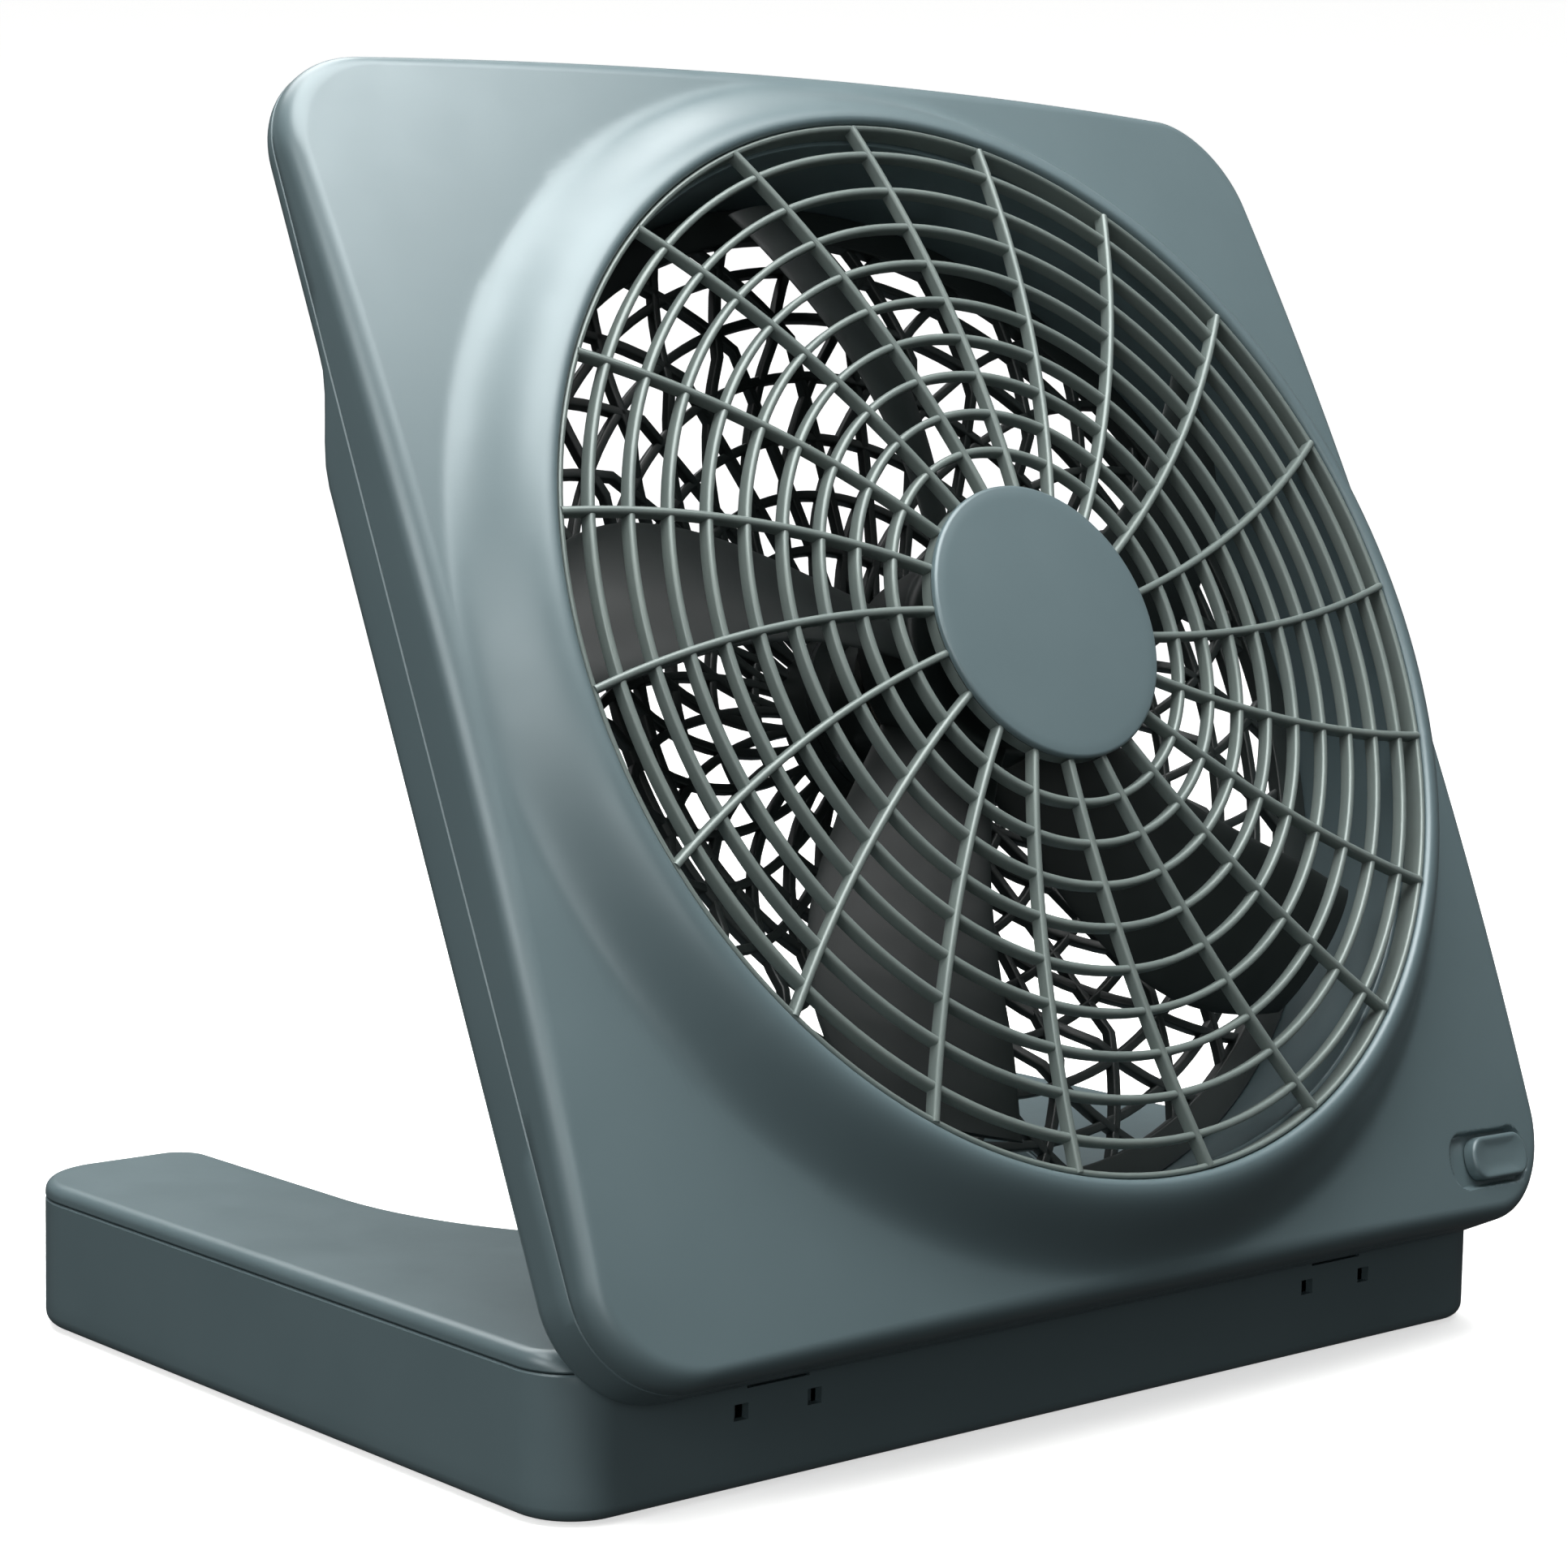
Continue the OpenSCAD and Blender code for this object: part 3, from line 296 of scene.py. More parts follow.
def rod(start: Sequence[float], end: Sequence[float], radius: float, sides: int = 32) -> Surface:
    """A round rod between the middles of its two ends.

    Args:
        start: Middle of one end.
        end: Middle of the other.
        radius: Its radius.
        sides: Flats round it.

    Returns:
        Two rings square to the line between the ends, and their caps.
    """
    a, b = np.array(start, float), np.array(end, float)
    along = (b - a) / np.linalg.norm(b - a)
    helper = np.array([1.0, 0.0, 0.0]) if abs(along[0]) < 0.9 else np.array([0.0, 1.0, 0.0])
    side = np.cross(along, helper)
    side /= np.linalg.norm(side)
    other = np.cross(along, side)
    around = unit_circle(full_turn(sides)) * radius
    ring = around[:, :1] * side + around[:, 1:] * other
    return ring_surface(np.stack([a + ring, b + ring]), closed=False)


def mirrored(surface: Surface) -> Surface:
    """The surface and its mirror image across x = 0, side by side."""
    flipped = Surface(surface.points * [-1.0, 1.0, 1.0], [list(f)[::-1] for f in surface.faces])
    return surface + flipped


def joined(surfaces: Sequence[Surface]) -> Surface:
    """All the surfaces as one mesh, side by side.

    Args:
        surfaces: The surfaces.

    Returns:
        One mesh with all their points and faces.
    """
    total = Surface(np.zeros((0, 3)), [])
    for surface in surfaces:
        total = total + surface
    return total


# ---------------------------------------------------------------- frames


@dataclass(frozen=True)
class HeadFrame:
    """The fan head's own frame, taken from the record's fan joint, with across along the row frame's first axis.
    """

    origin: Array
    across: Array
    up: Array
    forward: Array

    @classmethod
    def from_record(cls, joints: Sequence[dict]) -> "HeadFrame":
        """Reads the frame from the joint that the blades turn on.

        Args:
            joints: The record's joints.

        Returns:
            The frame: its origin is on the fan's axis in the plane of the face's
            corners, and the axis points forward.
        """
        spin = next(j for j in joints if j["name"] == "fan_spin")
        forward = np.array(spin["axis"], float)
        forward /= np.linalg.norm(forward)
        across = np.array([1.0, 0.0, 0.0])
        return cls(np.array(spin["pos_m"], float) / MM, across, np.cross(forward, across), forward)

    def place(self, points: Array) -> Array:
        """Points of the head frame, in the row frame, in millimetres."""
        return (self.origin + points[..., :1] * self.across + points[..., 1:2] * self.up
                + points[..., 2:3] * self.forward)

    def put(self, surface: Surface) -> Surface:
        """The surface moved from the head frame to the row frame."""
        return Surface(self.place(surface.points), surface.faces)


@dataclass(frozen=True)
class SwitchFrame:
    """The switch's place in the head frame, tilted to lie along the crowned face."""

    u: float = 133.0
    w: float = -144.0
    n: float = 5.3
    tilt_up: float = 6.5
    tilt_across: float = 6.3

    def axes(self) -> Array:
        """Rotation whose columns are the switch's own axes: up the face, then across it.

        Returns:
            A turn about the first axis, then one about the second.
        """
        a, b = math.radians(self.tilt_up), math.radians(self.tilt_across)
        turn_x = np.array([[1, 0, 0], [0, math.cos(a), -math.sin(a)], [0, math.sin(a), math.cos(a)]])
        turn_y = np.array([[math.cos(b), 0, math.sin(b)], [0, 1, 0], [-math.sin(b), 0, math.cos(b)]])
        return turn_y @ turn_x

    def out(self, points: Array) -> Array:
        """Points of the switch's frame, in the head frame."""
        return np.array([self.u, self.w, self.n]) + points @ self.axes().T

    def into(self, points: Array) -> Array:
        """Points of the head frame, in the switch's frame."""
        return (points - np.array([self.u, self.w, self.n])) @ self.axes()

    def put(self, surface: Surface) -> Surface:
        """The surface moved from the switch's frame to the head frame."""
        return Surface(self.out(surface.points), surface.faces)


# ---------------------------------------------------------------- meshes


class Body(Enum):
    """CAD bodies that new pieces ride on."""

    BASE = "base"
    HEAD = "head"
    ROTOR = "rotor"
    SWITCH_KNOB = "switch_knob"


def mesh_object(name: str, surface: Surface) -> bpy.types.Object:
    """A Blender object from a surface, in metres, with its faces turned outwards.

    Args:
        name: Name of the object and its mesh.
        surface: Points in millimetres and faces.

    Returns:
        The object, linked to the scene, at the origin.
    """
    mesh = bpy.data.meshes.new(name)
    mesh.from_pydata((surface.points * MM).tolist(), [], [list(f) for f in surface.faces])
    mesh.validate()
    mesh.update()
    made = bpy.data.objects.new(name, mesh)
    bpy.context.scene.collection.objects.link(made)
    return made


def turn_outwards(target: bpy.types.Object) -> None:
    """Points all of a closed mesh's faces outwards.

    Args:
        target: The object whose mesh changes.
    """
    work = bmesh.new()
    work.from_mesh(target.data)
    bmesh.ops.recalc_face_normals(work, faces=work.faces)
    work.to_mesh(target.data)
    work.free()


def combine(target: bpy.types.Object, tool: Surface, operation: str) -> None:
    """Cuts a closed surface from an object's mesh, or joins it on.

    Args:
        target: The object whose mesh changes.
        tool: A closed surface, or several that don't meet each other.
        operation: DIFFERENCE or UNION.
    """
    cutter = mesh_object("cutter", tool)
    turn_outwards(cutter)
    modifier = target.modifiers.new("combine", "BOOLEAN")
    modifier.object = cutter
    modifier.operation = operation
    modifier.solver = "EXACT"
    bpy.context.view_layer.update()
    evaluated = target.evaluated_get(bpy.context.evaluated_depsgraph_get())
    result = bpy.data.meshes.new_from_object(evaluated)
    target.modifiers.clear()
    old, target.data = target.data, result
    bpy.data.meshes.remove(old)
    bpy.data.objects.remove(cutter)


def join_into(target: bpy.types.Object, extra: bpy.types.Object) -> None:
    """Adds the extra object's mesh to the target's and removes the extra object.

    Args:
        target: The object that keeps both meshes.
        extra: The object that goes.
    """
    work = bmesh.new()
    work.from_mesh(target.data)
    work.from_mesh(extra.data)
    work.to_mesh(target.data)
    work.free()
    bpy.data.objects.remove(extra)


def smooth_shading(target: bpy.types.Object, degrees: float) -> None:
    """Shades a mesh smoothly, apart from edges sharper than an angle."""
    target.data.shade_smooth()
    target.data.set_sharp_from_angle(angle=math.radians(degrees))


def finish_piece(
    target: bpy.types.Object,
    body: Body,
    material: bpy.types.Material,
    replaces: Sequence[str],
    sharp_from: float = 35.0,
) -> None:
    """Dresses a piece, lets it ride on its body and stand for its CAD nodes.

    Args:
        target: The piece.
        body: The CAD body that it rides on.
        material: Its finish.
        replaces: The CAD nodes that it stands for.
        sharp_from: Edges sharper than this many degrees stay crisp.
    """
    smooth_shading(target, sharp_from)
    target.data.materials.clear()
    target.data.materials.append(material)
    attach(target, body.value)
    if replaces:
        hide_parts(*replaces)
    log.info("%s: %d faces, rides on %s, stands for %s", target.name, len(target.data.polygons),
             body.value, ", ".join(replaces))


# ---------------------------------------------------------------- finishes


def linear(code: str) -> tuple[float, float, float, float]:
    """Linear colour with full alpha from an sRGB hex code.

    Args:
        code: A # and six hex digits.

    Returns:
        Each part over 12.92 near black, or else the power 2.4 of the sRGB curve.
    """
    parts = [int(code[i:i + 2], 16) / 255.0 for i in (1, 3, 5)]
    lin = [p / 12.92 if p <= 0.04045 else ((p + 0.055) / 1.055) ** 2.4 for p in parts]
    return (lin[0], lin[1], lin[2], 1.0)


def add_node(
    owner: bpy.types.Material | bpy.types.World,
    kind: str,
    settings: dict[str, object] | None = None,
    values: dict[str | int, object] | None = None,
    links: dict[str | int, bpy.types.NodeSocket] | None = None,
) -> bpy.types.Node:
    """Adds one shader node.

    Args:
        owner: The material or world whose tree gets the node.
        kind: The node's type name.
        settings: Properties of the node.
        values: Socket values by name or number.
        links: Output sockets to join to inputs, by the input's name or number.

    Returns:
        The node.
    """
    tree = owner.node_tree
    node = tree.nodes.new(kind)
    for key, value in (settings or {}).items():
        setattr(node, key, value)
    for key, value in (values or {}).items():
        node.inputs[key].default_value = value
    for key, source in (links or {}).items():
        tree.links.new(source, node.inputs[key])
    return node


def new_material(name: str) -> tuple[bpy.types.Material, bpy.types.Node]:
    """An empty node material and its Principled shader, joined to the output.

    Args:
        name: The material's name.

    Returns:
        The material and its shader node.
    """
    material = bpy.data.materials.new(name)
    material.use_nodes = True
    material.node_tree.nodes.clear()
    shader = add_node(material, "ShaderNodeBsdfPrincipled")
    add_node(material, "ShaderNodeOutputMaterial", links={"Surface": shader.outputs["BSDF"]})
    return material, shader


NOISE_MIDDLE = {"From Min": 0.3, "From Max": 0.7}  # where most of a noise's values lie


@dataclass(frozen=True)
class MouldedPlastic:
    """Injection-moulded plastic: a spark-eroded skin whose fine pits spread the
    highlight, faint cloudiness where the melt flowed, and handled patches that
    are a little glossier."""

    name: str
    colour: str
    cloud_colour: str
    roughness: float
    ior: float = 1.54
    metallic: float = 0.0
    grain_mm: float = 0.7  # real skin is 0.05 to 0.1 mm, drawn coarser so that it shows
    grain_depth_mm: float = 0.012
    cloud_mm: float = 45.0
    gloss_change: float = 0.035
    specular: float = 0.5
    coat: float = 0.0  # the smooth resin skin over the pigment, as a weight
    coat_roughness: float = 0.42

    def build(self) -> bpy.types.Material:
        """Makes the material.

        Returns:
            Colour from slow clouds, roughness from patches, bump from the grain.
        """
        material, shader = new_material(self.name)
        place = add_node(material, "ShaderNodeTexCoord")
        clouds, patches, grain = (
            add_node(
                material,
                "ShaderNodeTexNoise",
                values={"Scale": 1.0 / (size_mm * MM), "Detail": detail, "Roughness": fineness},
                links={"Vector": place.outputs["Object"]},
            ).outputs["Fac"]
            for size_mm, detail, fineness in (
                (self.cloud_mm, 3.0, 0.5), (self.cloud_mm / 3.0, 4.0, 0.5), (self.grain_mm, 2.0, 0.6),
            )
        )
        share = add_node(
            material,
            "ShaderNodeMapRange",
            values={**NOISE_MIDDLE, "To Min": 0.0, "To Max": 1.0},
            links={"Value": clouds},
        )
        colour = add_node(
            material,
            "ShaderNodeMix",
            settings={"data_type": "RGBA"},
            values={6: linear(self.colour), 7: linear(self.cloud_colour)},
            links={0: share.outputs["Result"]},
        )
        gloss = add_node(
            material,
            "ShaderNodeMapRange",
            values={**NOISE_MIDDLE, "To Min": self.roughness - self.gloss_change,
                    "To Max": self.roughness + self.gloss_change},
            links={"Value": patches},
        )
        bump = add_node(
            material,
            "ShaderNodeBump",
            values={"Strength": 0.6, "Distance": self.grain_depth_mm * MM},
            links={"Height": grain},
        )
        tree = material.node_tree
        tree.links.new(colour.outputs[2], shader.inputs["Base Color"])
        tree.links.new(gloss.outputs["Result"], shader.inputs["Roughness"])
        tree.links.new(bump.outputs["Normal"], shader.inputs["Normal"])
        shader.inputs["Metallic"].default_value = self.metallic
        shader.inputs["IOR"].default_value = self.ior
        shader.inputs["Specular IOR Level"].default_value = self.specular
        shader.inputs["Coat Weight"].default_value = self.coat
        shader.inputs["Coat Roughness"].default_value = self.coat_roughness
        return material


@dataclass(frozen=True)
class PlatedMetal:
    """Rolled or turned metal with a thin plating: fine streaks along the grain and
    a soft, slightly clouded mirror."""

    name: str
    colour: str
    roughness: float
    streak_mm: float = 0.6
    streak_depth_mm: float = 0.004
    cloud_times: float = 12.0
    gloss_change: tuple[float, float] = (-0.06, 0.08)

    def build(self) -> bpy.types.Material:
        """Makes the material.

        Returns:
            Roughness from slow clouds and bump from fine streaks.
        """
        material, shader = new_material(self.name)
        place = add_node(material, "ShaderNodeTexCoord")
        streaks, clouds = (
            add_node(
                material,
                "ShaderNodeTexNoise",
                values={"Scale": 1.0 / (size_mm * MM), "Detail": detail, "Roughness": 0.5},
                links={"Vector": place.outputs["Object"]},
            ).outputs["Fac"]
            for size_mm, detail in ((self.streak_mm, 3.0), (self.streak_mm * self.cloud_times, 2.0))
        )
        less, more = self.gloss_change
        gloss = add_node(
            material,
            "ShaderNodeMapRange",
            values={**NOISE_MIDDLE, "To Min": self.roughness + less, "To Max": self.roughness + more},
            links={"Value": clouds},
        )
        bump = add_node(
            material,
            "ShaderNodeBump",
            values={"Strength": 0.5, "Distance": self.streak_depth_mm * MM},
            links={"Height": streaks},
        )
        tree = material.node_tree
        tree.links.new(gloss.outputs["Result"], shader.inputs["Roughness"])
        tree.links.new(bump.outputs["Normal"], shader.inputs["Normal"])
        shader.inputs["Base Color"].default_value = linear(self.colour)
        shader.inputs["Metallic"].default_value = 1.0
        return material


class Finishes:
    """All finishes, by the record's slot names."""

    def __init__(self) -> None:
        """Makes every material once."""
        finishes = {
            # ABS, injection moulded with metal flake in the pigment: satin slate blue-grey
            # with a broad soft highlight under a thin smooth skin
            "slate_abs": MouldedPlastic(
                "moulded_abs_slate", "#5d6f73", "#617377", 0.38, metallic=0.12, coat=0.5),
            # ABS, moulded in thin ribs: greyer than the shells, with bright lines on the
            # ribs' round fronts
            "grille_abs": MouldedPlastic(
                "moulded_abs_grille", "#707b78", "#76817d", 0.34, metallic=0.2, cloud_mm=20.0),
            # ABS, moulded near black: nearly black satin. On the rear grille the near-black is painted shade,
            # standing for the shadow the grille lies in behind the blades, and it lets the grille stand as a
            # silhouette
            "dark_abs": MouldedPlastic("moulded_abs_dark", "#1d2423", "#212827", 0.45),
            # Polypropylene, moulded: waxy near-black blades with a weak wide sheen
            "blade_pp": MouldedPlastic("moulded_polypropylene", "#181e1e", "#1c2322", 0.5, ior=1.45),
            # Rubber, vulcanised in a mould: matt black feet with next to no highlight
            "rubber": MouldedPlastic(
                "vulcanised_rubber", "#1e2020", "#242626", 0.8, ior=1.52, cloud_mm=6.0),
            # Acetal, moulded: slippery black socket and slider with a small crisp highlight
            "black_plastic": MouldedPlastic(
                "moulded_acetal_black", "#202325", "#25282a", 0.4, cloud_mm=8.0),
            # Nylon, moulded unpigmented: milky cream that looks a little waxy
            "nylon": MouldedPlastic(
                "moulded_nylon_natural", "#ddd8c9", "#e3dfd2", 0.45, ior=1.53, cloud_mm=8.0),
            # Polyester film, printed and shrunk on a dry cell: glossy ochre, nearly smooth
            "cell_jacket": MouldedPlastic(
                "printed_film_jacket", "#a88422", "#ad8a2b", 0.28, ior=1.5, grain_depth_mm=0.002),
            # Glass-epoxy laminate, solder masked: glossy green, slightly cloudy
            "board": MouldedPlastic(
                "solder_masked_laminate", "#2c5a40", "#316247", 0.3, ior=1.55, cloud_mm=6.0),
            # Ferrite, pressed and sintered: dark matt grey, like slate
            "magnet": MouldedPlastic("sintered_ferrite", "#34343a", "#3a3a3f", 0.6, cloud_mm=6.0),
            # Steel, cold formed and zinc plated: cool bright grey with a blurred mirror
            "screw_steel": PlatedMetal("zinc_plated_steel", "#b4b7ba", 0.32),
            # Steel, drawn or stamped and nickel plated: warmer and shinier than zinc
            "nickel_steel": PlatedMetal("nickel_plated_steel", "#c6c2b6", 0.26),
            # Copper wire, enamelled and wound: red-brown with fine ridges
            "copper": PlatedMetal("enamelled_copper", "#a65a36", 0.35, streak_depth_mm=0.02),
            # Bronze, sintered and oil soaked: dull brown-yellow with fine pores
            "bronze": PlatedMetal("sintered_bronze", "#a9834f", 0.48, streak_depth_mm=0.01),
        }
        self.by_slot = {slot: finish.build() for slot, finish in finishes.items()}

    def __getitem__(self, slot: str) -> bpy.types.Material:
        """The material of a slot."""
        return self.by_slot[slot]


# ---------------------------------------------------------------- face of the head


@dataclass(frozen=True)
class FaceShape:
    """The crowned square face and the raised ring round its opening."""

    width: float = 321.0
    height: float = 319.0
    corner_r: float = 25.0
    crown_v: float = 10.2
    crown_h: float = 10.8
    edge_r: float = 5.0
    opening_r: float = 138.2
    rim_n: float = 27.2
    ring_foot_r: float = 157.0

    def edge_distance(self, angle: Array) -> Array:
        """Distance from the middle to the rounded outline in each direction.

        Args:
            angle: Directions in radians.

        Returns:
            The distance to the side or the top, or, where the ray meets a corner's
            arc, the far root of its crossing with that circle.
        """
        c, s = np.abs(np.cos(angle)), np.abs(np.sin(angle))
        half_w, half_h = self.width / 2, self.height / 2
        cx, cy = half_w - self.corner_r, half_h - self.corner_r
        side = half_w / np.maximum(c, TINY)
        top = half_h / np.maximum(s, TINY)
        along = c * cx + s * cy
        corner = along + np.sqrt(np.maximum(0.0, along**2 - cx**2 - cy**2 + self.corner_r**2))
        return np.where(side * s <= cy, side, np.where(top * c <= cx, top, corner))

    def height_at(self, radius: Array, angle: Array) -> Array:
        """Height of the face: a shallow crown, parabolic both ways, that eases up
        to the level rim of the opening over the width of the raised ring.

        Args:
            radius: Distances from the middle.
            angle: Directions in radians.

        Returns:
            The crown, less the squares of both places, mixed with the rim's height.
        """
        u, w = radius * np.cos(angle), radius * np.sin(angle)
        crown = (self.crown_v * (1 - (2 * w / self.height) ** 2)
                 + self.crown_h * (1 - (2 * u / self.width) ** 2))
        lift = smooth((self.ring_foot_r - radius) / (self.ring_foot_r - self.opening_r))
        return mix(crown, self.rim_n, lift)


@dataclass
class FrontBezel:
    """Front shell of the head: face, raised ring, side wall and the switch's recess."""

    head: HeadFrame
    face: FaceShape = field(default_factory=FaceShape)
    switch: SwitchFrame = field(default_factory=SwitchFrame)
    wall: float = 2.5
    seam_n: float = -5.0
    lip_r: float = 136.6
    lip_back_n: float = 19.5
    recess_len: float = 34.0
    recess_w: float = 14.0
    recess_corner: float = 5.6
    recess_depth: float = 2.4
    recess_slope: float = 0.9
    recess_reach: float = 0.45
    recess_turn: tuple[float, float, float] = (304.0, 322.0, 0.16)  # degrees: first, last, step
    slot_len: float = 14.2
    slot_w: float = 4.0
    slot_span: tuple[float, float] = (-9.0, 1.0)
    seam_chamfer: float = 0.3
    lip_w: float = 1.8
    lip_drop: float = 2.6
    crown_gap: float = 2.2
    edge_gap: float = 0.6
    post_r: float = 4.0
    post_bore_r: float = 1.3
    post_clear: float = 1.2
    post_sides: int = 24
    post_places: tuple[tuple[float, float], ...] = ((142, 141), (148.5, -30), (110, -148), (70, 150))

    def angles(self) -> Array:
        """Directions of the slices: close together round the corners, closest at the recess.

        Returns:
            Rising directions in radians.
        """
        around = square_directions(2.0, 0.35)
        recess = np.arange(*self.recess_turn)
        around = around[(around < recess[0]) | (around > recess[-1])]
        return np.radians(np.sort(np.concatenate([around, recess])))

    def sunk(self, points: Array) -> Array:
        """Face points pressed down to the recess's floor inside its outline.

        Args:
            points: Points of the face in the head frame.

        Returns:
            The points, moved square to the floor plane and towards it by an eased
            share of the way, from none outside the outline to all of it inside.
        """
        local = self.switch.into(points)
        gap = rounded_box_distance(
            local[..., 0], local[..., 1], self.recess_len, self.recess_w, self.recess_corner)
        share = smooth((self.recess_reach - gap) / self.recess_slope)
        sunk = local.copy()
        sunk[..., 2] += share * (-self.recess_depth - local[..., 2])
        return self.switch.out(sunk)

    def skin(self) -> Surface:
        """The whole shell as one closed surface: each slice runs from the opening's
        lip over the face, round the outer edge, down the side wall, and back inside.

        Returns:
            The surface, in the head frame.
        """
        face, angle = self.face, self.angles()
        edge = face.edge_distance(angle)[:, None]
        a = angle[:, None]
        round_r = edge - face.edge_r
        share = np.concatenate([
            np.linspace(0.0, 0.26, 20), np.linspace(0.28, 0.54, 10), np.linspace(0.56, 1.0, 58),
        ])[None]
        r_face = mix(face.opening_r, round_r, share)
        n_face = face.height_at(r_face, a)
        bend = np.radians(np.arange(10.0, 91.0, 10.0))[None]
        r_bend = round_r + face.edge_r * np.sin(bend)
        n_bend = face.height_at(r_bend, a) - face.edge_r * (1 - np.cos(bend))
        lip_turn = np.radians(np.array([0.0, 22.5, 45.0, 67.5]))[None]
        lip_round = face.opening_r - self.lip_r
        r_lip = self.lip_r + lip_round * (1 - np.cos(lip_turn)) + 0 * a
        n_lip = face.rim_n - lip_round * (1 - np.sin(lip_turn)) + 0 * a
        inner_r = face.opening_r + self.crown_gap
        side_r = edge - self.wall
        back = np.linspace(1.0, 0.0, 50)[None]
        r_back = mix(inner_r, round_r, back)
        n_back = face.height_at(r_back, a) - self.wall
        n_edge = face.height_at(edge, a) - face.edge_r
        chamfer = self.seam_chamfer

        def column(radius: Array | float, height: Array | float) -> tuple[Array, Array]:
            """One point of every slice."""
            return radius + 0 * edge, height + 0 * edge

        parts = [
            column(self.lip_r, self.lip_back_n),
            (r_lip, n_lip),
            (r_face, n_face),
            (r_bend, n_bend),
            column(edge, mix(n_edge, self.seam_n, 0.5)),
            column(edge, self.seam_n + chamfer),
            column(edge - chamfer, self.seam_n),
            column(side_r, self.seam_n),
            column(side_r, n_edge - self.edge_gap),
            (r_back, n_back),
            column(self.lip_r + self.lip_w, face.rim_n - self.lip_drop),
            column(self.lip_r + self.lip_w, self.lip_back_n),
        ]
        radius = np.concatenate([p[0] for p in parts], 1)
        height = np.concatenate([p[1] for p in parts], 1)
        points = np.stack([radius * np.cos(a), radius * np.sin(a), height], -1)
        first = 1 + r_lip.shape[1]
        last = first + r_face.shape[1] + r_bend.shape[1]
        points[:, first:last] = self.sunk(points[:, first:last])
        low = last + 5
        high = low + r_back.shape[1]
        inner = points[:, low:high].copy()
        inner[..., 2] += self.wall
        points[:, low:high] = self.sunk(inner) - np.array([0.0, 0.0, self.wall])
        return ring_surface(points, closed=True)

    def posts(self) -> Surface:
        """Posts that the shell screws bite into, each a bored cylinder that stops
        short of the lowest face height round it.

        Returns:
            The surface, in the head frame.
        """
        places = np.array([(s * u, w) for u, w in self.post_places for s in (-1, 1)], float)
        rims = places[:, None] + unit_circle(full_turn(self.post_sides)) * self.post_r
        heights = self.face.height_at(
            np.hypot(rims[..., 0], rims[..., 1]), np.arctan2(rims[..., 1], rims[..., 0]))
        top = heights.min(axis=1) - self.post_clear
        made = []
        for (u, w), high in zip(places, top):
            profile = np.array([
                [self.post_bore_r, self.seam_n], [self.post_r, self.seam_n],
                [self.post_r, high], [self.post_bore_r, high],
            ])
            tube = revolved(profile, self.post_sides)
            made.append(Surface(tube.points + [u, w, 0.0], tube.faces))
        return joined(made)

    def build(self, finishes: Finishes) -> None:
        """Makes the shell, cuts the slot of the knob's stem and dresses it.

        Args:
            finishes: Materials by slot name.
        """
        shell = mesh_object("front_bezel_shell", self.head.put(self.skin()))
        turn_outwards(shell)
        low, high = self.slot_span
        slot = box((-self.slot_len / 2, -self.slot_w / 2, low), (self.slot_len / 2, self.slot_w / 2, high))
        combine(shell, self.head.put(self.switch.put(slot)), "DIFFERENCE")
        posts = mesh_object("bezel_posts", self.head.put(self.posts()))
        turn_outwards(posts)
        join_into(shell, posts)
        finish_piece(shell, Body.HEAD, finishes["slate_abs"], ["front_bezel"], 40.0)


# ---------------------------------------------------------------- grilles


@dataclass(frozen=True)
class RibSection:
    """Cross-section of a moulded rib: flat sides, a rounded front, a softer back."""

    width: float
    depth: float
    front_round: float
    back_round: float = 0.35

    def outline(self) -> Array:
        """Rows of place across the rib and height, with the front at height 0.

        Returns:
            The section's points, in order round it.
        """
        half = self.width / 2
        return rounded_profile([
            (-half, -self.depth, self.back_round), (half, -self.depth, self.back_round),
            (half, 0.0, self.front_round), (-half, 0.0, self.front_round),
        ], 3)


@dataclass(frozen=True)
class BentPath:
    """A bar bent to a circle. It leaves its inner end a few degrees off the radius,
    and its outer end lies further round."""

    r_in: float
    r_out: float
    bend_r: float
    turn_in: float = 5.0

    def points(self, steps: int) -> tuple[Array, Array]:
        """Middle line of the bar and its sideways direction, both in the flat.

        Args:
            steps: Points along the bar.

        Returns:
            Points spaced evenly in radius, and unit vectors from the bend's centre.
        """
        lead = math.radians(self.turn_in)
        centre = np.array([self.r_in - self.bend_r * math.sin(lead), self.bend_r * math.cos(lead)])
        reach = np.linspace(math.radians(-90.0 + self.turn_in), math.radians(20.0), 4000)
        radius = np.linalg.norm(centre + self.bend_r * unit_circle(reach), axis=1)
        stop = int(np.argmax(radius > self.r_out)) + 1
        angle = np.interp(np.linspace(self.r_in, self.r_out, steps), radius[:stop], reach[:stop])
        side = unit_circle(angle)
        return centre + self.bend_r * side, side


def swept_bar(path: BentPath, section: RibSection, front: Array, steps: int) -> Array:
    """Rings of points along a bent bar.

    Args:
        path: The bar's middle line.
        section: Its cross-section.
        front: Height of its front surface at each step.
        steps: Points along the bar.

    Returns:
        Steps by section points by three: the middle line, plus the section's width
        along the sideways direction and its height along the third axis.
    """
    middle, side = path.points(steps)
    outline = section.outline()
    flat = middle[:, None] + side[:, None] * outline[None, :, :1]
    height = front[:, None, None] + outline[None, :, 1:]
    return np.concatenate([flat, np.broadcast_to(height, (*flat.shape[:2], 1))], -1)


